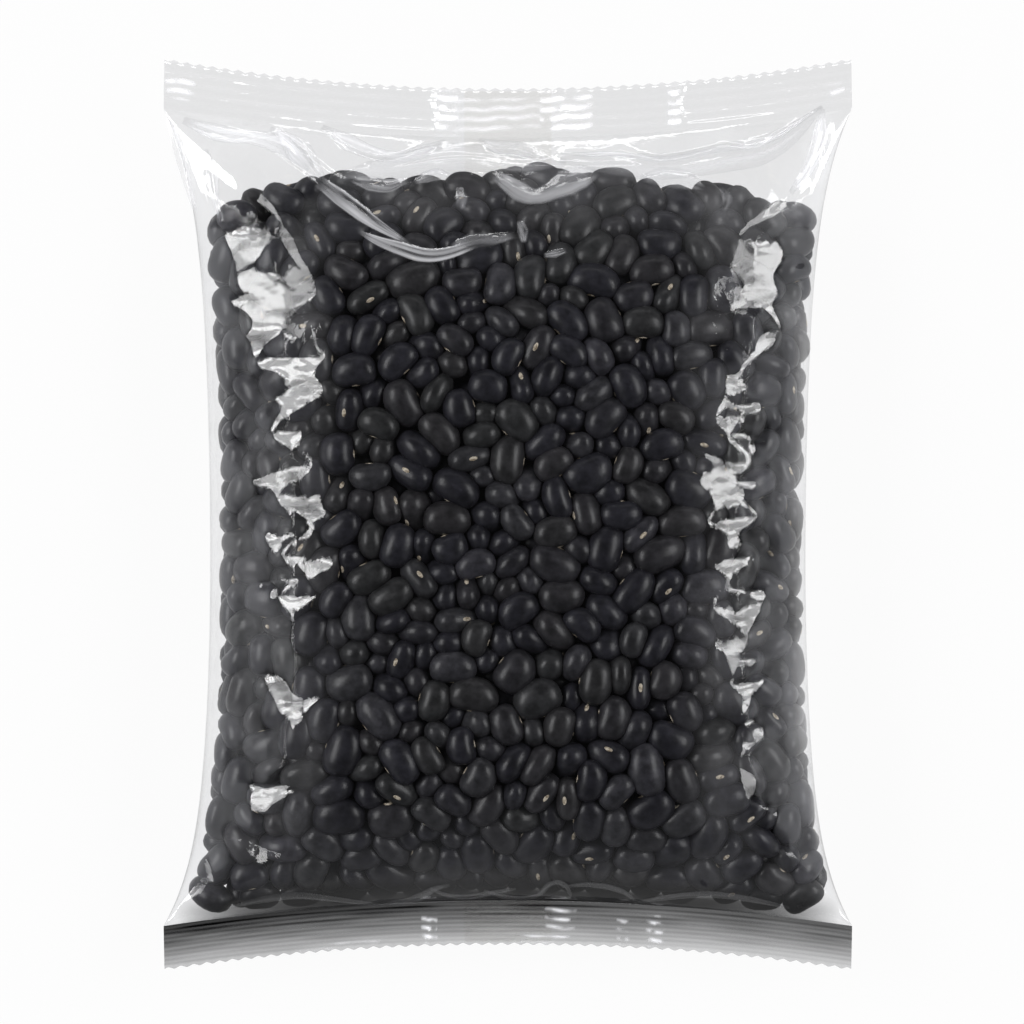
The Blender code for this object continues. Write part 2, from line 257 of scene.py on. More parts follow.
def skin_grid(columns, rows, front, inset=0.0, low=BOTTOM_LINE, high=TOP_LINE, denser=0.0):
    """Points of the bare film, one row for each station between the two seals."""
    roundness = FRONT_ROUNDNESS if front else BACK_ROUNDNESS
    full = FRONT_LEVEL - SEAL_LEVEL if front else SEAL_LEVEL - BACK_LEVEL
    turn, along = np.meshgrid(even_turns(columns, roundness, full, denser), np.linspace(low, high, rows))
    angle = np.pi * turn
    side = -np.sign(np.cos(angle)) * np.abs(np.cos(angle)) ** (2.0 / roundness)
    crown = np.abs(np.sin(angle)) ** (2.0 / roundness)
    if front:
        lift = rise(along, BOTTOM_RISE, TOP_RISE, FRONT_RISE_POWERS)
    else:
        lift = rise(along, BACK_BOTTOM_RISE, BACK_TOP_RISE, BACK_RISE_POWERS)
    x = side * (half_width(along) - inset)
    height = np.maximum(full * lift - inset, 0.0) * crown
    z = middle_level(along) + (height if front else -height)
    return np.stack([x, along + sag(x, along), z], axis=-1)


# Folds in the front film


# Shoulder edges, where the flat front turns to the side, as pixels from top to bottom
LEFT_EDGE = ((268, 196), (282, 300), (292, 420), (298, 540), (296, 690), (280, 785), (240, 870))
RIGHT_EDGE = (
    (756, 220), (752, 330), (738, 440), (734, 540), (740, 640), (746, 740), (756, 800), (800, 880),
)
EDGE_SLOPES = (0.28, 0.66)
EDGE_ROUNDING = 0.45
EDGE_WAVE = 0.5
EDGE_FADES = (-84.0, -72.0, 56.0, 72.0)
SHOULDER_START = 25.0

# Bright facets of the crumpled shoulders: the outline of each, in pixels
LEFT_FACETS = (
    (
        (219, 229), (232, 228), (245, 224), (258, 227), (267, 228), (269, 241), (262, 250), (258, 258),
        (248, 264), (236, 270), (233, 275), (233, 262), (228, 250),
    ),
    (
        (253, 196), (262, 194), (272, 204), (280, 216), (284, 224), (292, 236), (300, 256), (308, 268),
        (312, 280), (316, 290), (313, 293), (306, 284), (300, 268), (292, 258), (284, 246), (279, 234),
        (279, 222), (268, 208),
    ),
    ((283, 278), (293, 266), (300, 270), (308, 280), (313, 291), (300, 292), (290, 288)),
    (
        (266, 280), (258, 286), (250, 291), (226, 300), (232, 306), (244, 312), (251, 320), (250, 330),
        (244, 336), (250, 342), (252, 350), (254, 359), (258, 355), (263, 346), (270, 340), (279, 336),
        (284, 328), (284, 320), (290, 311), (300, 305), (312, 300), (316, 294), (312, 293), (290, 290),
        (280, 282),
    ),
    (
        (236, 271), (250, 266), (262, 270), (272, 272), (280, 278), (266, 281), (250, 291), (240, 290),
        (234, 280),
    ),
    (
        (283, 333), (300, 339), (316, 345), (325, 352), (325, 357), (321, 353), (314, 348), (300, 342),
        (288, 338),
    ),
    (
        (255, 359), (276, 358), (300, 358), (325, 357), (323, 361), (317, 368), (314, 374), (318, 380),
        (324, 385), (325, 392), (322, 397), (314, 401), (305, 406), (296, 411), (288, 416), (281, 421),
        (276, 428), (272, 433), (270, 430), (275, 420), (281, 412), (281, 406), (277, 401), (270, 400),
        (284, 395), (290, 388), (285, 384), (285, 378), (276, 372), (262, 368), (256, 364),
    ),
    (
        (271, 433), (285, 432), (296, 431), (301, 432), (303, 436), (300, 442), (301, 448), (307, 452),
        (313, 458), (314, 464), (312, 468), (310, 472), (300, 480), (290, 484), (281, 490), (279, 496),
        (276, 492), (268, 488), (255, 485), (250, 480), (262, 476), (275, 473), (290, 468), (302, 466),
        (310, 466), (310, 461), (305, 456), (298, 451), (288, 447), (280, 442), (274, 438),
    ),
    (
        (275, 491), (280, 495), (300, 496), (321, 495), (321, 503), (328, 511), (327, 517), (318, 519),
        (313, 522), (316, 528), (313, 535), (309, 538), (298, 542), (289, 548), (285, 552), (284, 557),
        (281, 553), (286, 546), (296, 539), (306, 534), (309, 530), (309, 525), (304, 518), (296, 513),
        (290, 514), (286, 509), (280, 504), (277, 498),
    ),
    (
        (283, 557), (300, 556), (318, 559), (328, 559), (337, 561), (337, 565), (330, 569), (320, 574),
        (313, 578), (306, 578), (304, 572), (296, 568), (288, 564), (284, 560),
    ),
    (
        (262, 536), (268, 533), (280, 537), (292, 533), (296, 535), (282, 542), (280, 550), (275, 554),
        (270, 547),
    ),
    (
        (258, 590), (258, 584), (280, 580), (299, 579), (301, 581), (292, 588), (281, 594), (280, 592),
        (288, 585), (296, 582), (280, 583), (264, 585),
    ),
    (
        (277, 596), (290, 597), (300, 596), (318, 595), (316, 600), (306, 605), (300, 610), (295, 613),
        (293, 621), (290, 613), (284, 607), (279, 601),
    ),
    ((269, 596), (272, 590), (279, 588), (277, 594), (277, 599), (272, 600)),
    (
        (260, 675), (272, 676), (283, 679), (288, 685), (291, 692), (298, 697), (304, 698), (302, 704),
        (301, 711), (304, 719), (300, 723), (295, 725), (293, 731), (291, 723), (288, 716), (280, 713),
        (276, 704), (272, 694), (266, 684),
    ),
    ((304, 700), (312, 697), (321, 697), (321, 699), (313, 705), (305, 712), (302, 706)),
    (
        (244, 784), (252, 786), (262, 789), (272, 787), (284, 785), (290, 786), (285, 790), (300, 790),
        (290, 795), (280, 800), (272, 805), (266, 813), (258, 813), (251, 812), (250, 800), (252, 792),
    ),
    (
        (250, 843), (258, 847), (275, 853), (289, 859), (280, 861), (268, 864), (257, 867), (254, 860),
        (248, 853),
    ),
    ((222, 838), (232, 840), (252, 843), (251, 846), (232, 842)),
    (
        (202, 858), (206, 866), (210, 878), (212, 888), (233, 896), (233, 899), (209, 892), (205, 878),
        (200, 862),
    ),
)
RIGHT_FACETS = (
    (
        (776, 200), (790, 200), (786, 208), (776, 214), (764, 220), (752, 226), (744, 232), (742, 236),
        (743, 241), (750, 251), (756, 258), (762, 262), (754, 266), (744, 266), (736, 269), (731, 271),
        (733, 262), (738, 248), (740, 238), (741, 230), (748, 221), (760, 212), (770, 206),
    ),
    (
        (748, 240), (760, 241), (775, 240), (780, 236), (782, 243), (787, 250), (784, 262), (778, 268),
        (775, 276), (779, 288), (781, 296), (775, 300), (773, 305), (777, 313), (782, 322), (782, 329),
        (779, 327), (776, 319), (770, 312), (762, 308), (750, 307), (740, 308), (730, 311), (734, 302),
        (734, 290), (736, 286), (744, 288), (745, 282), (744, 278), (738, 274), (732, 271), (744, 266),
        (756, 262), (753, 256), (757, 248),
    ),
    (
        (782, 329), (770, 331), (761, 335), (757, 340), (756, 350), (750, 356), (744, 363), (739, 371),
        (740, 382), (743, 390), (747, 390), (743, 380), (742, 373), (747, 366), (755, 359), (763, 352),
        (771, 348), (775, 344), (777, 338),
    ),
    (
        (728, 376), (739, 373), (740, 382), (744, 390), (741, 393), (733, 396), (726, 400), (734, 404),
        (746, 406), (756, 403), (762, 402), (762, 412), (745, 415), (738, 410), (728, 408), (722, 411),
        (716, 417), (718, 408), (723, 399), (725, 392), (724, 384),
    ),
    (
        (714, 418), (724, 416), (742, 415), (745, 421), (738, 426), (731, 431), (731, 437), (737, 443),
        (745, 449), (751, 456), (752, 463), (748, 468), (739, 474), (736, 480), (737, 486), (744, 491),
        (744, 500), (740, 505), (730, 508), (718, 509), (713, 503), (712, 497), (708, 492), (701, 486),
        (698, 480), (703, 472), (716, 467), (708, 460), (701, 451), (714, 456), (728, 461), (738, 463),
        (748, 461), (745, 455), (737, 448), (729, 442), (727, 434), (722, 430), (717, 424),
    ),
    ((730, 433), (744, 434), (758, 438), (770, 440), (764, 443), (750, 440), (736, 438)),
    ((748, 443), (757, 446), (754, 455), (750, 452)),
    ((736, 481), (748, 483), (757, 481), (757, 486), (760, 490), (748, 489), (738, 486)),
    ((715, 505), (719, 508), (714, 514), (711, 520), (709, 525), (706, 525), (709, 517)),
    ((742, 500), (750, 506), (757, 510), (759, 517), (755, 514), (748, 509), (741, 506)),
    (
        (706, 523), (716, 522), (730, 519), (745, 517), (760, 516), (756, 520), (748, 526), (741, 530),
        (738, 535), (739, 541), (743, 546), (738, 547), (731, 549), (728, 549), (729, 540), (727, 534),
        (720, 531), (710, 529),
    ),
    (
        (712, 565), (718, 563), (724, 560), (736, 558), (746, 559), (754, 555), (755, 561), (746, 566),
        (736, 573), (731, 578), (730, 584), (732, 587), (742, 590), (752, 593), (762, 589), (767, 592),
        (767, 598), (762, 602), (750, 597), (738, 593), (728, 591), (722, 594), (717, 600), (714, 606),
        (712, 605), (715, 597), (719, 591), (724, 588), (726, 581), (725, 575), (720, 571), (714, 569),
    ),
    (
        (712, 606), (722, 607), (730, 606), (736, 609), (733, 616), (742, 609), (752, 605), (763, 603),
        (762, 609), (757, 617), (754, 623), (750, 629), (748, 634), (748, 640), (745, 640), (744, 634),
        (739, 628), (731, 622), (722, 617), (715, 612),
    ),
    (
        (714, 641), (718, 645), (724, 641), (735, 639), (748, 638), (748, 643), (744, 650), (739, 656),
        (742, 660), (750, 659), (761, 659), (756, 664), (748, 666), (740, 667), (736, 670), (734, 678),
        (733, 685), (730, 684), (731, 672), (729, 664), (725, 656), (722, 650), (715, 652),
    ),
    (
        (731, 685), (742, 684), (752, 683), (764, 680), (768, 680), (762, 686), (757, 691), (752, 695),
        (750, 701), (750, 708), (747, 704), (743, 698), (738, 692), (733, 688),
    ),
    ((741, 701), (747, 703), (748, 708), (744, 713), (745, 718), (741, 717), (742, 710)),
    ((740, 724), (750, 721), (759, 720), (753, 724), (744, 728)),
    ((752, 731), (764, 728), (764, 738), (759, 743), (753, 737)),
    (
        (740, 741), (748, 743), (759, 742), (752, 747), (746, 752), (742, 759), (740, 765), (750, 773),
        (757, 780), (756, 788), (751, 800), (748, 800), (744, 792), (741, 782), (740, 772), (737, 768),
        (738, 762), (741, 755), (743, 749),
    ),
    ((748, 799), (752, 802), (760, 806), (770, 809), (770, 812), (760, 809), (751, 805)),
    ((772, 815), (776, 815), (777, 809), (779, 814), (778, 820), (773, 818)),
    ((776, 849), (782, 852), (792, 855), (800, 860), (800, 863), (792, 859), (780, 855)),
)
FACET_SCALE = 0.989
FACET_STEP = 0.3
FACET_REACH = 20.0
FACET_ROUNDS = 45
SHARP_ROUNDS = 8
FACET_WIDTH = (28.0, 66.0)
FACET_LENGTH = (-92.0, 80.0)
FACET_FULL_LENGTH = (-84.0, 74.0)
FACET_FADE = 4.0

# Slopes down to the side and down to the top seal: of bright facets, and the nearest ones of dull film
BRIGHT_SLOPES = (0.38, 0.47)
BRIGHT_LEANS = (0.0, 0.22)
DULL_SLOPES = (0.29, 0.64)
DULL_LEANS = (-0.18, 0.38)

# Raised creases of the slack film below the top seal: half width in millimetres, then the pixels they pass
CREASES = (
    (2.3, ((162, 112), (219, 164), (257, 196))),
    (1.2, ((188, 129), (233, 145), (281, 136), (293, 146), (329, 174), (353, 186))),
    (1.0, ((270, 152), (319, 186))),
    (1.2, ((324, 133), (345, 150), (370, 160), (391, 162), (420, 153))),
    (1.2, ((528, 166), (560, 167), (600, 168), (640, 166))),
    (1.0, ((400, 158), (440, 144))),
    (1.0, ((478, 141), (498, 149), (516, 149), (538, 158))),
    (1.1, ((564, 152), (596, 157), (620, 150), (640, 157))),
    (1.3, ((626, 151), (658, 162), (681, 159), (724, 147), (750, 150), (762, 147), (822, 107))),
    (1.6, ((804, 180), (825, 140), (830, 112))),
    (1.9, ((822, 120), (807, 177), (785, 196))),
)
CREASE_SLOPE = 0.36

# Slack folds that lie on the front film: half widths in millimetres along them, how much milkiness they
# show, how bright the highlight painted on their rims is, then the pixels they pass
SLACK_FOLDS = (
    ((1.3, 1.9, 1.8, 1.1, 0.3), 0.50, 0.5, ((318, 181), (349, 205), (375, 225), (396, 238), (411, 246))),
    (
        (0.3, 1.0, 1.5, 1.7, 1.5, 1.3, 0.9), 0.46, 0.6,
        ((358, 233), (382, 245), (402, 251), (420, 258), (437, 259), (453, 255), (478, 246)),
    ),
    ((0.6, 1.8, 1.5, 0.8), 0.18, 0.1, ((450, 250), (472, 243), (496, 242), (516, 237))),
    (
        (0.8, 1.8, 2.4, 1.8, 2.2, 3.2, 2.8, 1.0), 0.38, 0.35,
        ((490, 173), (506, 183), (519, 193), (531, 200), (543, 198), (557, 189), (576, 179), (600, 172)),
    ),
    ((0.5, 1.8, 1.6, 0.5), 0.34, 0.5, ((350, 180), (368, 184), (388, 188), (410, 180))),
    ((0.5, 1.4, 1.4, 0.5), 0.28, 0.4, ((414, 184), (426, 178), (438, 175), (452, 178))),
    ((0.8, 1.3, 0.6), 0.30, 0.1, ((520, 222), (523, 234), (524, 246))),
    ((0.5, 1.0, 0.5), 0.32, 0.2, ((543, 258), (553, 257), (566, 253))),
    ((0.6, 1.6, 0.9), 0.16, 0.0, ((459, 188), (462, 200), (461, 212))),
    ((0.6, 1.4, 0.8), 0.18, 0.0, ((718, 188), (727, 200), (722, 214))),
    ((0.8, 2.4, 2.4, 0.8), 0.16, 0.1, ((640, 180), (664, 178), (688, 182), (706, 190))),
    ((0.5, 1.8, 3.0, 2.2, 1.4), 0.42, 0.3, ((270, 128), (290, 142), (303, 156), (313, 170), (322, 183))),
    ((0.8, 2.0, 1.6, 2.4, 1.2), 0.36, 0.3, ((183, 120), (220, 134), (262, 138), (290, 148), (312, 168))),
    (
        (0.5, 2.0, 1.6, 1.4, 1.6, 0.8), 0.34, 0.4,
        ((322, 126), (345, 141), (370, 153), (393, 159), (416, 155), (446, 142)),
    ),
    (
        (0.8, 2.2, 3.0, 3.6, 3.0, 2.6, 0.8), 0.22, 0.0,
        ((330, 182), (368, 172), (410, 165), (450, 157), (490, 159), (530, 165), (566, 163)),
    ),
    ((0.6, 1.8, 2.0, 1.0), 0.30, 0.3, ((478, 140), (500, 148), (522, 150), (546, 160))),
    (
        (0.8, 2.2, 3.0, 3.0, 3.2, 3.4, 2.2, 0.4), 0.26, 0.15,
        ((560, 160), (600, 164), (640, 168), (680, 167), (724, 158), (762, 153), (796, 132), (823, 106)),
    ),
    (
        (0.3, 0.7, 0.6, 0.7, 0.6, 0.7, 0.6, 0.3), 0.55, 0.3,
        ((560, 153), (590, 157), (619, 151), (652, 163), (688, 157), (724, 147), (762, 148), (823, 105)),
    ),
    ((0.4, 1.6, 1.6, 1.2, 0.6), 0.50, 0.5, ((824, 108), (820, 135), (814, 158), (803, 178), (790, 194))),
    ((0.6, 1.5, 0.6), 0.55, 0.3, ((824, 138), (826, 150), (822, 168))),
    ((0.5, 1.2, 1.0, 0.5), 0.40, 0.4, ((168, 118), (178, 150), (188, 185), (196, 215))),
    ((0.5, 1.6, 1.0, 0.5), 0.36, 0.2, ((206, 150), (213, 175), (216, 200), (222, 222))),
    ((0.3, 0.9, 1.0, 0.7, 0.3), 0.08, 0.2, ((382, 905), (408, 903), (424, 895), (434, 888), (450, 884))),
    ((0.3, 0.6, 0.7, 0.3), 0.08, 0.3, ((430, 887), (446, 896), (468, 898), (492, 893), (516, 888))),
    ((0.3, 0.6, 0.6, 0.3), 0.08, 0.3, ((484, 890), (506, 898), (526, 900), (540, 895), (550, 884))),
    ((0.3, 0.5, 0.6, 0.3), 0.08, 0.3, ((538, 896), (547, 884), (558, 880), (567, 885), (571, 896))),
    ((0.3, 0.6, 0.7, 0.3), 0.07, 0.3, ((562, 886), (586, 883), (610, 886), (626, 892), (636, 902))),
    ((0.3, 0.8, 0.8, 0.6, 0.3), 0.07, 0.2, ((228, 908), (262, 899), (300, 894), (340, 900), (388, 907))),
    ((0.3, 0.7, 0.8, 0.7, 0.3), 0.07, 0.2, ((632, 904), (672, 896), (712, 893), (752, 899), (790, 908))),
)
FOLD_ROWS, FOLD_COLUMNS = 84, 21
FOLD_GAP = 0.2
FOLD_LIFT = 0.13
FOLD_SMOOTHING = 60

# Film: how much painted shade of the full end darkens it, how strong the pale veils over its parts are (the
# film's milkiness together with painted reflection), and how unevenly its facets mirror
END_SHADE = 0.92
FRONT_END_SHADE = 0.985
SLACK_VEIL = 0.03
SHOULDER_VEIL = 0.024
SIDE_VEIL = 0.03
END_VEIL = 0.014
FACET_STREAKS = 0.5
END_SHADE_REACH = (2.2, 6.5)

# Random lattice: values a side, and the place of the bag's origin on it
LATTICE = 160
LATTICE_ORIGIN = (61.3, 57.7)


def lattice_noise(x, y, size, seed):
    """Smooth random values between -1 and 1, with patches of about the given size."""
    rng = np.random.default_rng(seed)
    values = rng.uniform(-1.0, 1.0, (LATTICE, LATTICE))
    u, v = x / size + LATTICE_ORIGIN[0], y / size + LATTICE_ORIGIN[1]
    column, row = np.floor(u).astype(int), np.floor(v).astype(int)
    fu, fv = u - column, v - row
    fu, fv = fu * fu * (3.0 - 2.0 * fu), fv * fv * (3.0 - 2.0 * fv)
    column, row = column % (LATTICE - 1), row % (LATTICE - 1)
    low = values[row, column] * (1.0 - fu) + values[row, column + 1] * fu
    high = values[row + 1, column] * (1.0 - fu) + values[row + 1, column + 1] * fu
    return low * (1.0 - fv) + high * fv


def shoulder_edge(y, path):
    """How far the shoulder edge lies from the middle of the bag, at each place along it."""
    points = np.array([from_photo(*pixel) for pixel in path])[::-1]
    wave = EDGE_WAVE * lattice_noise(y, 4.0 * points[0, 0], 5.0, 9)
    return np.interp(y, points[:, 1], np.abs(points[:, 0])) + wave


def shouldered(x, y):
    """The bare film, flattened to either side of a rounded edge at both shoulders."""
    z = skin_height(x, y)
    for side, path in ((-1.0, LEFT_EDGE), (1.0, RIGHT_EDGE)):
        edge = shoulder_edge(y, path)
        level = skin_height(side * edge, y)
        past = side * x - edge
        inner, outer = EDGE_SLOPES
        bend = np.clip(past, -EDGE_ROUNDING, EDGE_ROUNDING)
        round_part = 0.5 * (inner + outer) * bend
        round_part += (outer - inner) * (bend * bend + EDGE_ROUNDING**2) / (4.0 * EDGE_ROUNDING)
        straight = inner * np.minimum(past + EDGE_ROUNDING, 0.0)
        straight += outer * np.maximum(past - EDGE_ROUNDING, 0.0)
        flattened = np.minimum(z, level - round_part - straight)
        fade = smooth_step(y, *EDGE_FADES[:2]) * (1.0 - smooth_step(y, *EDGE_FADES[2:]))
        z = np.where(side * x > SHOULDER_START, z + (flattened - z) * fade, z)
    return z


def inside_outlines(x, y, outlines):
    """Whether each point lies inside one of the outlines."""
    inside = np.zeros(x.shape, bool)
    for outline in outlines:
        corners = np.array([from_photo(*pixel) for pixel in outline]) * FACET_SCALE
        odd = np.zeros(x.shape, bool)
        for (x1, y1), (x2, y2) in zip(corners, np.roll(corners, 1, axis=0)):
            if y1 != y2:
                crossing = x1 + (x2 - x1) * (y - y1) / (y2 - y1)
                odd ^= ((y1 > y) != (y2 > y)) & (x < crossing)
        inside |= odd
    return inside


def softened(values):
    """Values mixed a little with those of the neighbouring places."""
    for _ in range(2):
        wide = np.pad(values, ((1, 1), (0, 0)), mode="edge")
        values = (0.5 * wide[1:-1] + 0.25 * (wide[2:] + wide[:-2])).T
    return values


def surface_from_slopes(down_rows, down_columns, start):
    """The surface whose slopes come nearest to the wanted ones, and that stays near the start."""
    spread = np.zeros_like(start)
    step = 0.5 * FACET_STEP * (down_rows[1:] + down_rows[:-1])
    spread[:-1] -= step
    spread[1:] += step
    step = 0.5 * FACET_STEP * (down_columns[:, 1:] + down_columns[:, :-1])
    spread[:, :-1] -= step
    spread[:, 1:] += step
    rows, columns = start.shape
    hold = (FACET_STEP / FACET_REACH) ** 2
    wanted = hold * start - spread
    wanted = np.concatenate([wanted, wanted[::-1]])
    wanted = np.concatenate([wanted, wanted[:, ::-1]], axis=1)
    row_part = 2.0 - 2.0 * np.cos(np.pi * np.fft.fftfreq(2 * rows, 0.5))
    column_part = 2.0 - 2.0 * np.cos(np.pi * np.fft.rfftfreq(2 * columns, 0.5))
    waves = np.fft.rfft2(wanted) / (row_part[:, None] + column_part[None] + hold)
    return np.fft.irfft2(waves, s=wanted.shape)[:rows, :columns]


def facet_change(side, outlines):
    """How far the shoulder's film moves so that its facets catch the light inside the outlines alone."""
    rows, columns = np.arange(*FACET_LENGTH, FACET_STEP), np.arange(*FACET_WIDTH, FACET_STEP)
    y, out = np.meshgrid(rows, columns, indexing="ij")
    start = np.nan_to_num(shouldered(side * out, y))
    bright = inside_outlines(side * out, y, outlines)
    level = start
    for number in range(FACET_ROUNDS):
        lean, slope = (-part for part in np.gradient(level, FACET_STEP))
        past_slopes = [slope - DULL_SLOPES[0], DULL_SLOPES[1] - slope]
        past_leans = [lean - DULL_LEANS[0], DULL_LEANS[1] - lean]
        past = np.stack(past_slopes + past_leans)
        nearest = np.where((past > 0.0).all(axis=0), past.argmin(axis=0), -1)
        dull_slope = np.select([nearest == 0, nearest == 1], DULL_SLOPES, slope)
        dull_lean = np.select([nearest == 2, nearest == 3], DULL_LEANS, lean)
        wanted_slope = np.where(bright, np.clip(slope, *BRIGHT_SLOPES), dull_slope)
        wanted_lean = np.where(bright, np.clip(lean, *BRIGHT_LEANS), dull_lean)
        if number < FACET_ROUNDS - SHARP_ROUNDS:
            wanted_slope, wanted_lean = softened(wanted_slope), softened(wanted_lean)
        level = surface_from_slopes(wanted_lean, wanted_slope, start)
    fade = smooth_step(out, FACET_WIDTH[0], FACET_WIDTH[0] + FACET_FADE)
    fade = fade * smooth_step(y, FACET_LENGTH[0], FACET_FULL_LENGTH[0])
    return softened(level - start) * fade * (1.0 - smooth_step(y, FACET_FULL_LENGTH[1], FACET_LENGTH[1]))


FACET_CHANGES = {}


def facets(x, y):
    """The change of level of both shoulders' facets, read from their grids."""
    total = np.zeros(x.shape)
    for side, outlines in ((-1.0, LEFT_FACETS), (1.0, RIGHT_FACETS)):
        if side not in FACET_CHANGES:
            FACET_CHANGES[side] = facet_change(side, outlines)
        change = FACET_CHANGES[side]
        row = np.clip((y - FACET_LENGTH[0]) / FACET_STEP, 0.0, change.shape[0] - 1.001)
        column = np.clip((side * x - FACET_WIDTH[0]) / FACET_STEP, 0.0, change.shape[1] - 1.001)
        r, c = row.astype(int), column.astype(int)
        dr, dc = row - r, column - c
        near = change[r, c] * (1.0 - dc) + change[r, c + 1] * dc
        far = change[r + 1, c] * (1.0 - dc) + change[r + 1, c + 1] * dc
        total += np.where(side * x > FACET_WIDTH[0], near * (1.0 - dr) + far * dr, 0.0)
    return total


def distance_to_path(x, y, path):
    """Distance from each point to a line of straight runs, and the share of the line there."""
    points = np.array([from_photo(*p) for p in path])
    runs = np.hypot(*(points[1:] - points[:-1]).T)
    start = np.concatenate(([0.0], np.cumsum(runs)))
    best = np.full(x.shape, 1e9)
    share = np.zeros(x.shape)
    for index in range(len(points) - 1):
        a, step = points[index], points[index + 1] - points[index]
        t = np.clip(((x - a[0]) * step[0] + (y - a[1]) * step[1]) / (step @ step), 0.0, 1.0)
        distance = np.hypot(x - a[0] - t * step[0], y - a[1] - t * step[1])
        closer = distance < best
        best = np.where(closer, distance, best)
        share = np.where(closer, (start[index] + t * runs[index]) / start[-1], share)
    return best, share


def raised_creases(x, y):
    """Sharp-topped ridges of slack film."""
    height = np.zeros(x.shape)
    for half_wide, path in CREASES:
        distance, share = distance_to_path(x, y, path)
        wide = half_wide * np.clip(np.minimum(share, 1.0 - share) / 0.15, 0.12, 1.0) ** 0.7
        height = np.maximum(height, CREASE_SLOPE * np.clip(wide - distance, 0.0, None))
    return height


def crinkles(x, y):
    """Shallow, sharp-edged creasing of the whole film, stronger on the shoulders and near the top seal."""
    along = unsagged(x, y)
    shoulder = np.exp(-(((np.abs(x) - 50.0) / 9.0) ** 2))
    slack = smooth_step(along, 55.0, 78.0)
    broad = 0.22 * np.abs(lattice_noise(x, y * 1.4, 13.0, 1))
    broad = broad + 0.10 * np.abs(lattice_noise(x * 1.3, y, 6.5, 2))
    fine = 0.13 * np.abs(lattice_noise(x, y * 1.3, 3.1, 3))
    edge = 1.0 - rise(along, 8.0, 6.0, (1.0, 1.0))
    broad_share = 0.4 + slack - 0.35 * shoulder
    fine_share = 0.12 + 0.22 * shoulder + 0.35 * slack
    return (broad * broad_share + fine * fine_share) * (1.0 - edge)


def front_level(x, y):
    """Level of the front film over a point, facets and folds included."""
    z = shouldered(x, y) + facets(x, y)
    return z + raised_creases(x, y) - crinkles(x, y)


# Beans: packed as stiff clusters of balls that push each other apart


BALL_PLACES = np.array(
    [
        (0.0, 1.0, 0.0), (0.0, -1.0, 0.0), (2.7, 0.45, 0.0),
        (2.7, -0.45, 0.0), (-2.7, 0.45, 0.0), (-2.7, -0.45, 0.0),
    ]
)
BALL_SIZES = np.array([2.5, 2.5, 2.3, 2.3, 2.3, 2.3])


def fill_line(x):
    """Where the top of the beans lies along the bag, over its width."""
    waves = 1.1 * np.sin(x * 0.11 + 0.6) + 0.8 * np.sin(x * 0.31)
    return FILL_LINE_Y + waves - 8.0 * np.clip(np.abs(x) / 62.0, 0.0, 1.2) ** 4


class Container:
    """Room inside the film: distance to the film and the direction inward, read from a grid."""

    def __init__(self, spacing=ROOM_SPACING):
        front = skin_grid(110, 180, True)
        bare = front[..., 2]
        folded = front_level(front[..., 0], front[..., 1])
        front[..., 2] = np.where(np.isfinite(bare), np.minimum(bare, folded), 0.0)
        back = skin_grid(70, 90, False)
        tree = surface_tree([front, back[:, ::-1]])
        low, high = np.array(ROOM_LOW), np.array(ROOM_HIGH)
        counts = np.ceil((high - low) / spacing).astype(int) + 1
        axes = [low[i] + spacing * np.arange(counts[i]) for i in range(3)]
        points = np.stack(np.meshgrid(*axes, indexing="ij"), axis=-1).reshape(-1, 3)
        depth = np.empty(len(points))
        for index, point in enumerate(points):
            place, normal, _, distance = tree.find_nearest(Vector(point))
            outside = (Vector(point) - place).dot(normal) > 0.0
            depth[index] = -distance if outside else distance
        self.low, self.spacing, self.counts = low, spacing, counts
        self.depth = depth.reshape(counts)

    def sample(self, points):
        """Depth below the film and the unit direction inward, at each point."""
        scaled = np.clip((points - self.low) / self.spacing, 0.001, self.counts - 1.001)
        cell = np.floor(scaled).astype(int)
        f = scaled - cell
        corner = {}
        for dx in (0, 1):
            for dy in (0, 1):
                for dz in (0, 1):
                    corner[dx, dy, dz] = self.depth[cell[..., 0] + dx, cell[..., 1] + dy, cell[..., 2] + dz]
        fx, fy, fz = f[..., 0], f[..., 1], f[..., 2]

        def mixed(axis):
            total = 0.0
            for (dx, dy, dz), value in corner.items():
                weight = 1.0
                for number, share, along in ((dx, fx, 0), (dy, fy, 1), (dz, fz, 2)):
                    if along == axis:
                        weight = weight * (1.0 if number else -1.0)
                    else:
                        weight = weight * (share if number else 1.0 - share)
                total = total + weight * value
            return total

        gradient = np.stack([mixed(0), mixed(1), mixed(2)], axis=-1) / self.spacing
        gradient /= np.maximum(np.linalg.norm(gradient, axis=-1, keepdims=True), 1e-6)
        return mixed(None), gradient


def surface_tree(grids):
    points, faces = [], []
    for grid in grids:
        first = sum(len(p) for p in points)
        points.append(grid.reshape(-1, 3))
        faces.append(grid_faces(*grid.shape[:2]) + first)
    points = np.concatenate(points)
    faces = np.concatenate(faces)
    return BVHTree.FromPolygons(points.tolist(), faces.tolist())


def grid_faces(rows, columns):
    first = (np.arange(rows - 1)[:, None] * columns + np.arange(columns - 1)[None, :]).ravel()
    return np.stack([first, first + 1, first + columns + 1, first + columns], axis=1)


def random_turns(count, rng):
    """Rotation matrices with no preferred direction."""
    q = rng.normal(size=(count, 4))
    q /= np.linalg.norm(q, axis=1, keepdims=True)
    w, x, y, z = q.T
    return np.stack(
        [
            np.stack([1 - 2 * (y * y + z * z), 2 * (x * y - w * z), 2 * (x * z + w * y)], -1),
            np.stack([2 * (x * y + w * z), 1 - 2 * (x * x + z * z), 2 * (y * z - w * x)], -1),
            np.stack([2 * (x * z - w * y), 2 * (y * z + w * x), 1 - 2 * (x * x + y * y)], -1),
        ],
        axis=1,
    )


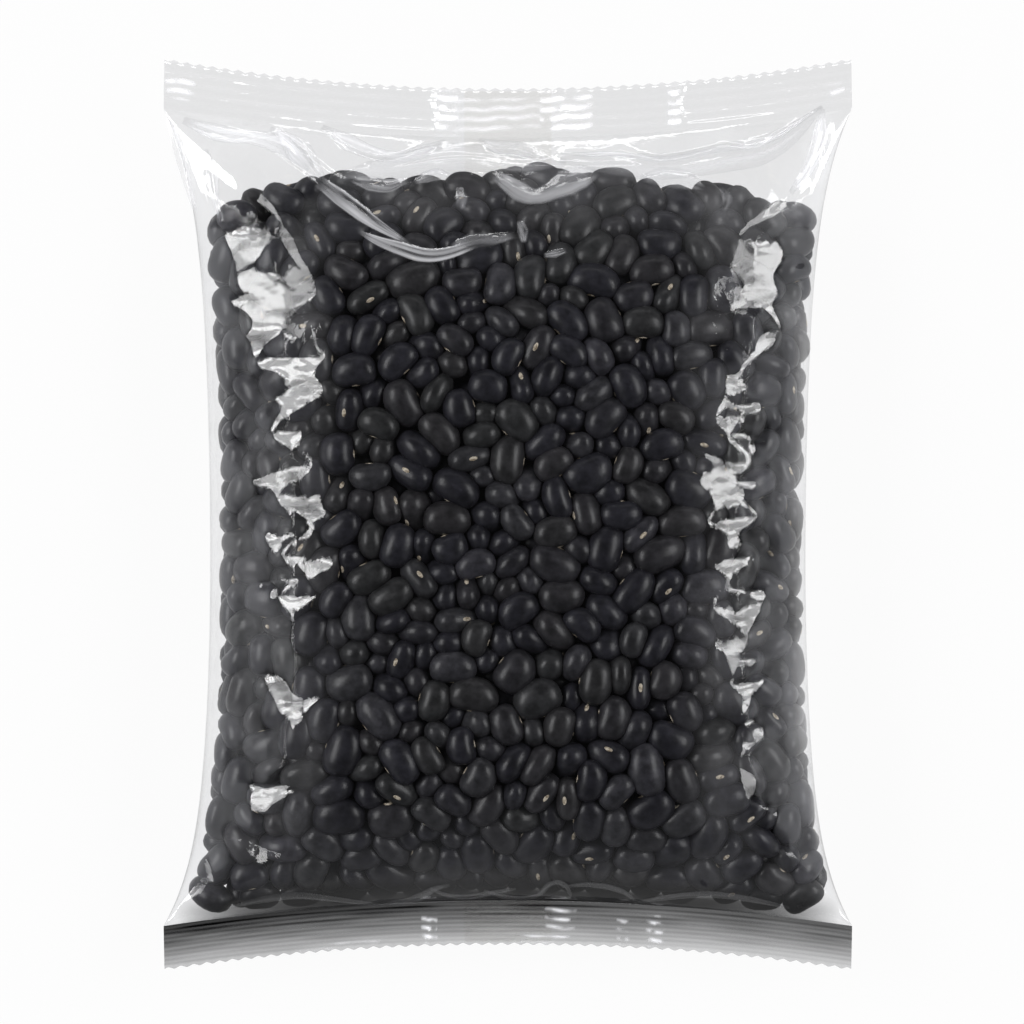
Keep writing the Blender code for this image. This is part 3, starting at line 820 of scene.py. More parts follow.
def small_turns(vector):
    """Rotation matrices from rotation vectors."""
    angle = np.linalg.norm(vector, axis=1)
    axis = vector / np.maximum(angle, 1e-9)[:, None]
    x, y, z = axis.T
    zero = np.zeros_like(x)
    rows = [np.stack([zero, -z, y], -1), np.stack([z, zero, -x], -1), np.stack([-y, x, zero], -1)]
    cross = np.stack(rows, axis=1)
    outer = axis[:, :, None] * axis[:, None, :]
    c, s = np.cos(angle)[:, None, None], np.sin(angle)[:, None, None]
    return c * np.eye(3) + s * cross + (1.0 - c) * outer


def near_pairs(places, reach):
    tree = KDTree(len(places))
    for index, place in enumerate(places):
        tree.insert(place, index)
    tree.balance()
    first, second = [], []
    for index, place in enumerate(places):
        for _, other, _ in tree.find_range(place, reach):
            if other > index:
                first.append(index)
                second.append(other)
    return np.array(first), np.array(second)


def pack_beans(container, steps):
    """Places, turns and sizes of beans that fill the room below the film to a bounded depth."""
    rng = np.random.default_rng(SEED)
    tries = rng.uniform(TRIES_LOW, TRIES_HIGH, (TRIES, 3))
    depth, _ = container.sample(tries)
    below_line = tries[:, 1] < fill_line(tries[:, 0]) - TRIES_CLEARANCE
    keep = (depth > TRIES_CLEARANCE) & (depth < SHELL_DEPTH) & below_line
    place = tries[keep][:BEAN_COUNT]
    count = len(place)
    turn = random_turns(count, rng)
    size = 1.0 + SIZE_SPREAD * np.clip(rng.normal(size=count), *SIZE_LIMITS)
    for step in range(steps):
        grown = START_SIZE + GROWTH * min(step / (GROWING_SHARE * steps), 1.0)
        arm = np.einsum("nij,kj->nki", turn, BALL_PLACES) * (size * grown)[:, None, None]
        ball = place[:, None] + arm
        radius = BALL_SIZES[None] * (size * grown)[:, None]
        if step % PAIRS_RENEWED == 0:
            first, second = near_pairs(place, PAIR_REACH)
        gap = ball[first][:, :, None] - ball[second][:, None]
        distance = np.maximum(np.sqrt((gap * gap).sum(-1)), 1e-6)
        overlap = radius[first][:, :, None] + radius[second][:, None] - distance
        overlap = np.clip(overlap, 0.0, DEEPEST_PUSH)
        push = gap * (0.5 * overlap / distance)[..., None]
        move = np.zeros_like(ball)
        hits = np.zeros(ball.shape[:2])
        np.add.at(move, first, push.sum(2))
        np.add.at(move, second, -push.sum(1))
        touching = overlap > 0.0
        np.add.at(hits, first, touching.sum(2))
        np.add.at(hits, second, touching.sum(1))
        depth, inward = container.sample(ball)
        aside = np.where(inward[..., 0] > 0.0, LEFT_CLEARANCE, RIGHT_CLEARANCE)
        clearance = BEAN_CLEARANCE + aside * np.abs(inward[..., 0]) ** 3
        short = np.clip(radius + clearance - depth, 0.0, DEEPEST_PUSH)
        move += inward * (FILM_PUSH * short)[..., None]
        hits += short > 0.0
        over = np.clip(ball[..., 1] + radius - fill_line(ball[..., 0]), 0.0, DEEPEST_PUSH)
        move[..., 1] -= over
        hits += over > 0.0
        total = np.maximum(hits.sum(1), 1.0)
        shift = move.sum(1) * (SHIFT_GAIN / np.sqrt(total) / SHIFT_EASE)[:, None]
        length = np.linalg.norm(shift, axis=1, keepdims=True)
        shift *= np.minimum(1.0, LONGEST_STEP / np.maximum(length, 1e-9))
        spin = np.cross(arm, move).sum(1) / (arm * arm).sum((1, 2))[:, None]
        spin_angle = np.linalg.norm(spin, axis=1, keepdims=True)
        spin *= np.minimum(1.0, LONGEST_TURN / np.maximum(spin_angle, 1e-9))
        centre_depth, centre_inward = container.sample(place)
        pull = OUTWARD_PULLS[0] if step < LAST_PULL_SHARE * steps else OUTWARD_PULLS[1]
        place = place + shift - centre_inward * pull
        deep = np.clip(centre_depth - SHELL_DEPTH, 0.0, DEEPEST_LIFT)
        place -= centre_inward * deep[:, None]
        turn = small_turns(0.5 * spin) @ turn
    return place, turn, size, centre_depth, centre_inward


def tucked_in(packed):
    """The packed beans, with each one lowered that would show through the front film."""
    place, turn, size, depth, inward = packed
    near = np.flatnonzero((inward[:, 2] < TUCKED_FACING) & (depth < FIRST_LAYER_DEPTH))
    template, _ = bean_template(10, 7)
    form = 0.5 * np.array([BEAN_LENGTH, BEAN_WIDTH, BEAN_THICKNESS])
    points = placed(template[None] * form * size[near][:, None, None], place[near], turn[near])
    above = (points[..., 2] - front_level(points[..., 0], points[..., 1])).max(axis=1)
    place = place.copy()
    place[near, 2] -= np.clip(above + FILM_CLEARANCE, 0.0, DEEPEST_TUCK)
    return place, turn, size, depth, inward


# Meshes


def make_piece(name, points, faces, material, slot, **shades):
    """A smooth mesh in metres that stands for the bag's solid and moves with it.

    shades are labels, each with one value for each point, which the material reads.
    """
    mesh = bpy.data.meshes.new(name)
    mesh.from_pydata((np.asarray(points) * METRES).tolist(), [], faces)
    for label, values in shades.items():
        layer = mesh.attributes.new(label, "FLOAT", "POINT")
        layer.data.foreach_set("value", np.asarray(values, np.float32).ravel())
    mesh.materials.append(material)
    mesh.shade_smooth()
    piece = bpy.data.objects.new(name, mesh)
    bpy.context.scene.collection.objects.link(piece)
    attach(piece, BODY)
    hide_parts(NODE)
    return piece


def bean_template(around, along):
    """A unit bean: an oval with full ends, its long way on X and its scar side at -Y."""
    ring_angle = 2.0 * np.pi * np.arange(around) / around
    station = -np.cos(np.pi * np.arange(1, along) / along)
    width = (1.0 - np.abs(station) ** END_FULLNESS) ** (1.0 / END_FULLNESS)
    x = np.repeat(station, around)
    w = np.repeat(width, around)
    y = w * np.tile(np.cos(ring_angle), along - 1)
    z = w * np.tile(np.sin(ring_angle), along - 1)
    points = np.concatenate([np.stack([x, y, z], axis=-1), [(-1.0, 0.0, 0.0), (1.0, 0.0, 0.0)]])
    faces = []
    last = (along - 2) * around
    for k in range(around):
        after = (k + 1) % around
        faces.append((last + around, k, after))
        faces.append((last + around + 1, last + after, last + k))
        for ring in range(along - 2):
            a, b = ring * around + k, ring * around + after
            faces.append((a, a + around, b + around, b))
    return points, faces


def shaped_beans(template, size, rng):
    """Unit points scaled and bent to each bean's own size and form, in millimetres."""
    count = len(size)
    length = 0.5 * BEAN_LENGTH * size * (1.0 + LENGTH_SPREAD * rng.normal(size=count))
    width = 0.5 * BEAN_WIDTH * size * (1.0 + WIDTH_SPREAD * rng.normal(size=count))
    thick = 0.5 * BEAN_THICKNESS * size * (1.0 + THICKNESS_SPREAD * rng.normal(size=count))
    bend = np.clip(BEND + BEND_SPREAD * rng.normal(size=count), *BEND_LIMITS)
    taper = TAPER_SPREAD * rng.normal(size=count)
    unit = template[None]
    x = unit[..., 0] * length[:, None]
    narrower = 1.0 + taper[:, None] * unit[..., 0]
    y = unit[..., 1] * width[:, None] * narrower
    y = y + bend[:, None] * (BEND_MIDDLE - unit[..., 0] ** 2)
    dip = np.exp(-((unit[..., 0] / 0.33) ** 2)) * np.clip(-unit[..., 1], 0.0, 1.0) ** 2
    y = y + SCAR_DIP * dip
    z = unit[..., 2] * thick[:, None] * narrower
    scar_place = -width + BEND_MIDDLE * bend + SCAR_DIP
    return np.stack([x, y, z], axis=-1), scar_place


def placed(points, place, turn):
    return place[:, None] + np.einsum("nij,nkj->nki", turn, points)


def repeated(faces, count, step):
    """The faces of one copy repeated for each, with its own point numbers."""
    every = []
    for index in range(count):
        first = index * step
        every += [tuple(first + corner for corner in face) for face in faces]
    return every


def add_beans(name, chosen, around, along, material, packed, seed):
    """One joined mesh of the chosen beans, each with its own size, form and tone."""
    place, turn, size = (part[chosen] for part in packed[:3])
    rng = np.random.default_rng(seed)
    template, faces = bean_template(around, along)
    local, scar_place = shaped_beans(template, size, rng)
    points = placed(local, place, turn).reshape(-1, 3)
    tone = np.repeat(rng.uniform(0.0, 1.0, len(place)), len(template))
    every = repeated(faces, len(place), len(template))
    make_piece(name, points, every, material, "dried_beans", bean_tone=tone)
    return place, turn, scar_place


def add_scars(name, beans, material):
    """The pale oval scar at the middle of each bean's inner side, as a low raised pad."""
    place, turn, scar_place = beans
    angle = 2.0 * np.pi * np.arange(SCAR_SIDES) / SCAR_SIDES
    rings = []
    for share, lift in SCAR_RINGS:
        x = 0.5 * SCAR_LENGTH * share * np.cos(angle)
        z = 0.5 * SCAR_WIDTH * share * np.sin(angle)
        rings.append(np.stack([x, np.full(SCAR_SIDES, -lift), z], axis=-1))
    local = np.repeat(np.concatenate(rings)[None], len(place), axis=0)
    local[..., 1] += scar_place[:, None]
    faces = []
    for ring in range(len(SCAR_RINGS) - 1):
        for k in range(SCAR_SIDES):
            a, b = ring * SCAR_SIDES + k, ring * SCAR_SIDES + (k + 1) % SCAR_SIDES
            faces.append((a, b, b + SCAR_SIDES, a + SCAR_SIDES))
    top = (len(SCAR_RINGS) - 1) * SCAR_SIDES
    faces.append(tuple(range(top, top + SCAR_SIDES)))
    points = placed(local, place, turn).reshape(-1, 3)
    every = repeated(faces, len(place), len(SCAR_RINGS) * SCAR_SIDES)
    make_piece(name, points, every, material, "seed_scar")


def grid_piece(name, grid, material, flip=False, **shades):
    """An open sheet of film from a grid of points."""
    faces = grid_faces(*grid.shape[:2])
    if flip:
        faces = faces[:, ::-1]
    return make_piece(name, grid.reshape(-1, 3), faces.tolist(), material, "clear_film", **shades)


# Film


def add_front_film(material):
    grid = skin_grid(FRONT_COLUMNS, FRONT_ROWS, True, denser=1.4)
    x, y = grid[..., 0], grid[..., 1]
    grid[..., 2] += front_level(x, y) - skin_height(x, y)
    from_line = unsagged(x, y) - BOTTOM_LINE
    near_line = 1.0 - smooth_step(from_line, *END_SHADE_REACH)
    shade = FRONT_END_SHADE * near_line * (1.0 - np.minimum(np.abs(x) / 72.0, 1.0) ** 8)
    # Pale veils over the beans: the film's milkiness together with painted reflection of the pale
    # surroundings, near the top of the heap, on the shoulders, at the right side and near the bottom line
    patches = 1.0 + 1.3 * lattice_noise(x, y, 8.0, 64) + 0.5 * lattice_noise(x, y, 3.0, 67)
    patches = np.clip(patches, 0.0, 2.2)
    haze = SLACK_VEIL * smooth_step(y, 56.0, 72.0) + SHOULDER_VEIL * smooth_step(np.abs(x), 34.0, 46.0)
    haze = (haze + SIDE_VEIL * smooth_step(x, 56.0, 61.0)) * patches * smooth_step(from_line, 3.0, 12.0)
    haze = haze + END_VEIL * (1.0 - smooth_step(from_line, 6.0, 15.0)) * (0.5 + 0.5 * patches)
    dull = dullness(grid)
    return grid_piece("front_film", grid, material, film_shade=shade, film_haze=haze, film_dull=dull)


def dullness(grid):
    """How little the shoulders' film mirrors: not beside the bright facets, and unevenly within them."""
    x, y, z = np.moveaxis(grid, -1, 0)
    slope = -np.sign(x) * np.gradient(z, axis=1) / np.maximum(np.gradient(x, axis=1), 1e-6)
    lit = smooth_step(slope, 0.28, 0.33) * (1.0 - smooth_step(slope, 0.60, 0.68))
    shoulder = smooth_step(np.abs(x), 30.0, 33.0) * smooth_step(y, -84.0, -80.0)
    shoulder = shoulder * (1.0 - smooth_step(y, 66.0, 69.0))
    bright = inside_outlines(x, y, LEFT_FACETS + RIGHT_FACETS)
    streaks = lattice_noise(x + 0.5 * y, y * 2.0, 5.0, 65)
    streaks = streaks + 0.6 * lattice_noise(x - 0.8 * y, y * 2.5, 2.2, 66)
    uneven = FACET_STREAKS * smooth_step(streaks, 0.05, 0.75)
    return np.where(bright, uneven, 0.9 * lit * shoulder)


def smooth_path(path, count):
    """Evenly spaced points along a rounded line past the pixels."""
    points = np.array([from_photo(*pixel) for pixel in path])
    runs = np.hypot(*(points[1:] - points[:-1]).T)
    passed = np.concatenate(([0.0], np.cumsum(runs)))
    even = np.linspace(0.0, passed[-1], count)
    line = np.stack([np.interp(even, passed, points[:, axis]) for axis in (0, 1)], axis=-1)
    for _ in range(FOLD_SMOOTHING):
        line[1:-1] = 0.25 * (line[:-2] + line[2:]) + 0.5 * line[1:-1]
    return line


def slack_fold(widths, strength, rim_sheen, path, seed):
    """Points of one flattened fold, and how much milkiness each of them shows, with a painted highlight
    along its rims: streaks run along it.
    """
    line = smooth_path(path, FOLD_ROWS)
    step = np.gradient(line, axis=0)
    step /= np.hypot(step[:, 0], step[:, 1])[:, None]
    side = np.stack([-step[:, 1], step[:, 0]], axis=-1)
    shares, turns = np.linspace(0.0, 1.0, FOLD_ROWS), np.linspace(-1.0, 1.0, FOLD_COLUMNS)
    share, across = np.meshgrid(shares, turns, indexing="ij")
    wide = np.interp(share, np.linspace(0.0, 1.0, len(widths)), widths)
    place = line[:, None] + side[:, None] * (across * wide)[..., None]
    x, y = place[..., 0], place[..., 1]
    ends = smooth_step(np.minimum(share, 1.0 - share), 0.0, 0.16)
    broad = lattice_noise(across * 2.2, share * 2.5, 1.0, seed)
    fine = lattice_noise(across * 5.0, share * 3.0, 1.0, seed + 40)
    relief = wide * (FOLD_LIFT + 0.035 * (broad + fine)) * (1.0 - across**2)
    z = front_level(x, y) + FOLD_GAP + relief * ends
    streaks = np.clip(0.55 + 0.45 * broad + 0.40 * fine, 0.05, 1.3)
    inner = (1.0 - smooth_step(np.abs(across), 0.45 + 0.35 * rim_sheen, 0.98)) * streaks
    # A painted highlight along both rims of the fold
    edge = rim_sheen * np.exp(-(((np.abs(across) - 0.84) / 0.10) ** 2))
    haze = np.clip(strength * ends * (inner + edge), 0.0, 0.95)
    return np.stack([x, y, z], axis=-1), haze


def add_slack_folds(material):
    """Flattened folds of slack film that lie on the front film, joined as one mesh."""
    points, faces, haze = [], [], []
    for number, fold in enumerate(SLACK_FOLDS):
        grid, milk_and_sheen = slack_fold(*fold, 70 + number)
        faces.append(grid_faces(FOLD_ROWS, FOLD_COLUMNS)[:, ::-1] + number * FOLD_ROWS * FOLD_COLUMNS)
        points.append(grid.reshape(-1, 3))
        haze.append(milk_and_sheen.ravel())
    every = np.concatenate(faces).tolist()
    return make_piece(
        "slack_folds", np.concatenate(points), every, material, "clear_film", film_haze=np.concatenate(haze)
    )


def back_relief(x, y):
    return 0.25 * np.abs(lattice_noise(x, y, 16.0, 21)) + 0.12 * np.abs(lattice_noise(x, y, 7.0, 22))


def add_back_film(material):
    grid = skin_grid(BACK_COLUMNS, BACK_ROWS, False)
    x, y = grid[..., 0], grid[..., 1]
    edge = rise(unsagged(x, y), 8.0, 8.0, (1.0, 1.0)) * (1.0 - (np.abs(x) / 76.0) ** 8)
    grid[..., 2] += back_relief(x, y) * edge
    return grid_piece("back_film", grid, material, flip=True)


def rib_wave(share):
    """Level of the crimped ribs across a seal, from its inner line to its cut edge."""
    return 0.5 * RIB_HEIGHT * (1.0 - np.cos(2.0 * np.pi * RIBS_PER_SEAL * share))


def seal_waves(x, share, centres):
    """Ripples of the seal where the film's layers end or pucker, and its slow undulation."""
    level = 0.35 * np.sin(x * 0.085 + 0.8) + 0.22 * np.sin(x * 0.19 + 2.0)
    for centre, height, wide in centres:
        drift = 0.5 * np.sin(share * 9.0 + centre)
        level = level + height * np.exp(-(((x - centre - drift) / wide) ** 2))
    return level * smooth_step(share, -0.02, 0.35)


def add_seal(name, top, material):
    """Two sheets of film pressed together in ribs, with a zigzag cut edge."""
    shares, sides = np.linspace(0.0, 1.0, SEAL_ROWS), np.linspace(-1.0, 1.0, SEAL_COLUMNS)
    share, x = np.meshgrid(shares, sides, indexing="ij")
    x = x * SEAL_HALF_WIDTH
    tooth = 2.0 * np.abs((x / TOOTH_PITCH) % 1.0 - 0.5) - 0.5
    reach = share * (TOP_SEAL_HEIGHT if top else BOTTOM_SEAL_HEIGHT)
    reach = reach + TOOTH_DEPTH * tooth * smooth_step(share, 0.9, 1.0)
    along = TOP_LINE + reach if top else BOTTOM_LINE - reach
    y = along + sag(x, along)
    waves = seal_waves(x, share, TOP_PUCKERS if top else BOTTOM_PUCKERS)
    z = middle_level(along) + rib_wave(share) + waves
    sheets = []
    for side in (0.5, -0.5):
        sheets.append(np.stack([x, y, z + FILM_GAP * side], axis=-1))
    points = np.concatenate([sheet.reshape(-1, 3) for sheet in sheets])
    faces = grid_faces(SEAL_ROWS, SEAL_COLUMNS)
    if not top:
        faces = faces[:, ::-1]
    count = SEAL_ROWS * SEAL_COLUMNS
    every = faces.tolist() + (faces[:, ::-1] + count).tolist()
    shade = np.zeros(share.shape) if top else end_shadow(x, share)
    shade = np.concatenate([shade.ravel(), np.zeros(count)])
    # Painted highlight lines and glints of the seal, the same on both sheets
    haze = np.tile(painted_seal_sheen(x, share, TOP_GLINTS if top else BOTTOM_GLINTS).ravel(), 2)
    return make_piece(name, points, every, material, "clear_film", film_shade=shade, film_haze=haze)


def end_shadow(x, share):
    """How much the shadow under the full end dims the bottom seal, from its inner line to its edge."""
    fall = END_SHADE - 0.70 * np.clip(share, 0.0, 1.0) ** 1.75 - 0.05 * np.clip(x / 40.0, -1.0, 1.0)
    ribs = 0.05 * np.cos(4.0 * np.pi * RIBS_PER_SEAL * share)
    ribs = ribs + 0.05 * lattice_noise(x / 9.0, share * 14.0, 1.0, 61)
    return fall + ribs * smooth_step(share, 0.0, 0.1)


def painted_seal_sheen(x, share, glints):
    """Painted highlights: pale lines along the crimped ribs, and glints where the seal is puckered."""
    ribs = 0.5 + 0.5 * np.cos(2.0 * np.pi * RIBS_PER_SEAL * share)
    haze = RIB_SHEEN * ribs**6 * (0.6 + 0.6 * lattice_noise(x / 7.0, share * 9.0, 1.0, 62))
    for centre, low, high, wide, strength in glints:
        phase = 2.0 * np.pi * RIBS_PER_SEAL * share - GLINT_SLANT * (x - centre) + 0.5 * np.sin(0.9 * x)
        lines = 1.15 * (0.5 + 0.5 * np.cos(phase)) ** 2
        reach = smooth_step(share, low, low + GLINT_FADE)
        reach = reach * (1.0 - smooth_step(share, high - GLINT_FADE, high))
        across = np.clip(1.0 - np.abs(x - centre) / wide, 0.0, 1.0) ** 0.3
        grain = np.clip(0.85 + 1.2 * lattice_noise(x / (0.6 + 0.3 * wide), share * 7.0, 1.0, 63), 0.0, 1.0)
        haze = np.maximum(haze, strength * lines * reach * across * grain)
    return np.clip(haze, 0.0, 1.0)


def add_back_seam(material):
    """The strip of doubled film down the middle of the back, from edge to edge."""
    along = np.linspace(BOTTOM_EDGE_Y + SEAM_END_GAP, TOP_EDGE_Y - SEAM_END_GAP, SEAM_ROWS)
    share, along = np.meshgrid(np.linspace(-1.0, 1.0, SEAM_COLUMNS), along)
    x = share * SEAM_HALF_WIDTH
    y = along + sag(x, along)
    inner = np.clip(along, BOTTOM_LINE, TOP_LINE)
    level = skin_height(x, inner + sag(x, inner), False)
    past = np.maximum(along - TOP_LINE, 0.0) / TOP_SEAL_HEIGHT
    past = past + np.maximum(BOTTOM_LINE - along, 0.0) / BOTTOM_SEAL_HEIGHT
    top = along > 0.0
    waves = np.where(top, seal_waves(x, past, TOP_PUCKERS), seal_waves(x, past, BOTTOM_PUCKERS))
    in_seal = past > 0.0
    level = np.where(in_seal, middle_level(along) + rib_wave(past) + waves, level)
    z = level - SEAM_DROP + 0.12 * lattice_noise(x, y, 2.6, 31) * (1.0 - np.abs(share) ** 6)
    return grid_piece("back_seam", np.stack([x, y, np.maximum(z, 0.05)], axis=-1), material, flip=True)


def add_core(material):
    """The dark, unseen middle of the heap."""
    low, high = BOTTOM_LINE + CORE_INSET, FILL_LINE_Y - CORE_INSET
    front = skin_grid(40, 50, True, CORE_INSET, low, high)
    back = skin_grid(40, 50, False, CORE_INSET, low, high)[:, ::-1]
    loop = np.concatenate([front, back[:, 1:-1]], axis=1)
    rows, columns = loop.shape[:2]
    lumps = 0.6 * lattice_noise(loop[..., 0], loop[..., 1], 5.0, 41)
    loop[..., 2] += lumps * np.sign(loop[..., 2] - SEAL_LEVEL)
    faces = []
    for row in range(rows - 1):
        for column in range(columns):
            a, b = row * columns + column, row * columns + (column + 1) % columns
            faces.append((a, b, b + columns, a + columns))
    faces.append(tuple(range(columns))[::-1])
    faces.append(tuple(range((rows - 1) * columns, rows * columns)))
    return make_piece("heap_core", loop.reshape(-1, 3), faces, material, "dried_beans")


# Materials


def new_material(name):
    material = bpy.data.materials.new(name)
    material.use_nodes = True
    nodes = material.node_tree.nodes
    for node in list(nodes):
        nodes.remove(node)
    return material, nodes, material.node_tree.links


def add_node(nodes, kind, **values):
    """A node with its settings, and its input sockets set by name."""
    node = nodes.new(kind)
    for key, value in values.pop("settings", {}).items():
        setattr(node, key, value)
    for key, value in values.items():
        node.inputs[key.replace("_", " ")].default_value = value
    return node


def grain_group():
    """Fine uneven grain in the object's own space, shared by the materials."""
    group = bpy.data.node_groups.new("fine_grain", "ShaderNodeTree")
    for label, value in (("Scale", 400.0), ("Detail", 3.0), ("Roughness", 0.5)):
        socket = group.interface.new_socket(name=label, in_out="INPUT", socket_type="NodeSocketFloat")
        socket.default_value = value
    group.interface.new_socket(name="Grain", in_out="OUTPUT", socket_type="NodeSocketFloat")
    nodes, links = group.nodes, group.links
    given = nodes.new("NodeGroupInput")
    result = nodes.new("NodeGroupOutput")
    coordinates = nodes.new("ShaderNodeTexCoord")
    noise = nodes.new("ShaderNodeTexNoise")
    links.new(coordinates.outputs["Object"], noise.inputs["Vector"])
    for label in ("Scale", "Detail", "Roughness"):
        links.new(given.outputs[label], noise.inputs[label])
    links.new(noise.outputs["Fac"], result.inputs["Grain"])
    return group


def add_grain(nodes, grain_tree, scale, detail, rough=0.5):
    """A use of the shared grain, with its scale per metre."""
    settings = {"node_tree": grain_tree}
    return add_node(nodes, "ShaderNodeGroup", settings=settings, Scale=scale, Detail=detail, Roughness=rough)


# Pale layer of the film, as lit and as lit through: the film's milkiness, painted reflections over the
# beans, painted highlights on fold rims and painted glints on the seals
PALE_LAYER_COLOUR = (0.88, 0.88, 0.91, 1.0)
PALE_LAYER_COLOUR_THROUGH = (0.45, 0.45, 0.45, 1.0)
GRAZING_POWER = 3.5


def film_material(name, grain_tree, tint, rough, thin_gloss, grain_scale, bump):
    """Clear film: light passes, and a glossy share that grows at grazing angles is mirrored."""
    material, nodes, links = new_material(name)
    output = nodes.new("ShaderNodeOutputMaterial")
    mix = nodes.new("ShaderNodeMixShader")
    clear = nodes.new("ShaderNodeBsdfTransparent")
    shade = add_node(nodes, "ShaderNodeAttribute", settings={"attribute_name": "film_shade"})
    dim = nodes.new("ShaderNodeMix")
    dim.data_type = "RGBA"
    dim.inputs["A"].default_value = (*tint, 1.0)
    dim.inputs["B"].default_value = (0.0, 0.0, 0.0, 1.0)
    links.new(shade.outputs["Fac"], dim.inputs["Factor"])
    links.new(dim.outputs["Result"], clear.inputs["Color"])
    gloss = add_node(nodes, "ShaderNodeBsdfGlossy", Color=(1.0, 1.0, 1.0, 1.0), Roughness=rough)
    # Pale layer mixed in by each point's value: milkiness together with painted reflections, highlights and
    # glints
    haze = add_node(nodes, "ShaderNodeAttribute", settings={"attribute_name": "film_haze"})
    milk_and_sheen = nodes.new("ShaderNodeMixShader")
    pale = nodes.new("ShaderNodeAddShader")
    lit = add_node(nodes, "ShaderNodeBsdfDiffuse", Color=PALE_LAYER_COLOUR)
    lit_through = add_node(nodes, "ShaderNodeBsdfTranslucent", Color=PALE_LAYER_COLOUR_THROUGH)
    links.new(lit.outputs[0], pale.inputs[0])
    links.new(lit_through.outputs[0], pale.inputs[1])
    facing = add_node(nodes, "ShaderNodeLayerWeight", Blend=0.5)
    power = add_node(nodes, "ShaderNodeMath", settings={"operation": "POWER"})
    power.inputs[1].default_value = GRAZING_POWER
    share = add_node(nodes, "ShaderNodeMapRange")
    share.inputs["To Min"].default_value = thin_gloss
    share.inputs["To Max"].default_value = 1.0
    grain = add_grain(nodes, grain_tree, grain_scale, 3.0)
    height = add_node(nodes, "ShaderNodeBump", Strength=bump, Distance=0.0001)
    links.new(grain.outputs["Grain"], height.inputs["Height"])
    links.new(height.outputs["Normal"], gloss.inputs["Normal"])
    dull = add_node(nodes, "ShaderNodeAttribute", settings={"attribute_name": "film_dull"})
    keen = add_node(nodes, "ShaderNodeMath", settings={"operation": "SUBTRACT"})
    keen.inputs[0].default_value = 1.0
    mirrored = add_node(nodes, "ShaderNodeMath", settings={"operation": "MULTIPLY"})
    links.new(facing.outputs["Facing"], power.inputs[0])
    links.new(power.outputs[0], share.inputs["Value"])
    links.new(dull.outputs["Fac"], keen.inputs[1])
    links.new(share.outputs["Result"], mirrored.inputs[0])
    links.new(keen.outputs[0], mirrored.inputs[1])
    links.new(mirrored.outputs[0], mix.inputs["Fac"])
    links.new(clear.outputs[0], mix.inputs[1])
    links.new(gloss.outputs[0], mix.inputs[2])
    links.new(haze.outputs["Fac"], milk_and_sheen.inputs["Fac"])
    links.new(mix.outputs[0], milk_and_sheen.inputs[1])
    links.new(pale.outputs[0], milk_and_sheen.inputs[2])
    links.new(milk_and_sheen.outputs[0], output.inputs["Surface"])
    return material


SEED_COAT_COLOURS = (
    (0.0, (0.0138, 0.0134, 0.0174)),
    (0.35, (0.0185, 0.0183, 0.0233)),
    (0.6, (0.0240, 0.0229, 0.0248)),
    (0.8, (0.0227, 0.0231, 0.0235)),
    (1.0, (0.0341, 0.0332, 0.0398)),
)


def bean_material(grain_tree):
    """Black seed coat: satin, with a little blue, green or brown from bean to bean and a fine mottle."""
    material, nodes, links = new_material("black_seed_coat")
    output = nodes.new("ShaderNodeOutputMaterial")
    coat = add_node(nodes, "ShaderNodeBsdfPrincipled", IOR=1.5, Specular_IOR_Level=0.30)
    tone = add_node(nodes, "ShaderNodeAttribute", settings={"attribute_name": "bean_tone"})
    ramp = nodes.new("ShaderNodeValToRGB")
    stops = SEED_COAT_COLOURS
    while len(ramp.color_ramp.elements) < len(stops):
        ramp.color_ramp.elements.new(0.5)
    for element, (place, colour) in zip(ramp.color_ramp.elements, stops):
        element.position = place
        element.color = (*colour, 1.0)
    mottle = add_grain(nodes, grain_tree, 420.0, 4.0, 0.6)
    wrinkle = add_grain(nodes, grain_tree, 1400.0, 3.0)
    amount = add_node(nodes, "ShaderNodeMapRange")
    amount.inputs["From Min"].default_value = 0.35
    amount.inputs["From Max"].default_value = 0.7
    amount.inputs["To Min"].default_value = 0.65
    amount.inputs["To Max"].default_value = 1.65
    shade = add_node(nodes, "ShaderNodeVectorMath", settings={"operation": "SCALE"})
    rough = add_node(nodes, "ShaderNodeMapRange")
    rough.inputs["To Min"].default_value = 0.24
    rough.inputs["To Max"].default_value = 0.38
    bump = add_node(nodes, "ShaderNodeBump", Strength=0.12, Distance=0.0001)
    links.new(tone.outputs["Fac"], ramp.inputs["Fac"])
    links.new(mottle.outputs["Grain"], amount.inputs["Value"])
    links.new(ramp.outputs["Color"], shade.inputs[0])
    links.new(amount.outputs["Result"], shade.inputs["Scale"])
    links.new(shade.outputs["Vector"], coat.inputs["Base Color"])
    links.new(mottle.outputs["Grain"], rough.inputs["Value"])
    links.new(rough.outputs["Result"], coat.inputs["Roughness"])
    links.new(wrinkle.outputs["Grain"], bump.inputs["Height"])
    links.new(bump.outputs["Normal"], coat.inputs["Normal"])
    links.new(coat.outputs[0], output.inputs["Surface"])
    return material


def scar_material(grain_tree):
    """Cream scar with a darker, uneven tint."""
    material, nodes, links = new_material("cream_seed_scar")
    output = nodes.new("ShaderNodeOutputMaterial")
    pad = add_node(nodes, "ShaderNodeBsdfPrincipled", Roughness=0.55)
    grain = add_grain(nodes, grain_tree, 1500.0, 2.0)
    ramp = nodes.new("ShaderNodeValToRGB")
    ramp.color_ramp.elements[0].position = 0.35
    ramp.color_ramp.elements[0].color = (0.22, 0.17, 0.11, 1.0)
    ramp.color_ramp.elements[1].position = 0.6
    ramp.color_ramp.elements[1].color = (0.62, 0.55, 0.44, 1.0)
    links.new(grain.outputs["Grain"], ramp.inputs["Fac"])
    links.new(ramp.outputs["Color"], pad.inputs["Base Color"])
    links.new(pad.outputs[0], output.inputs["Surface"])
    return material


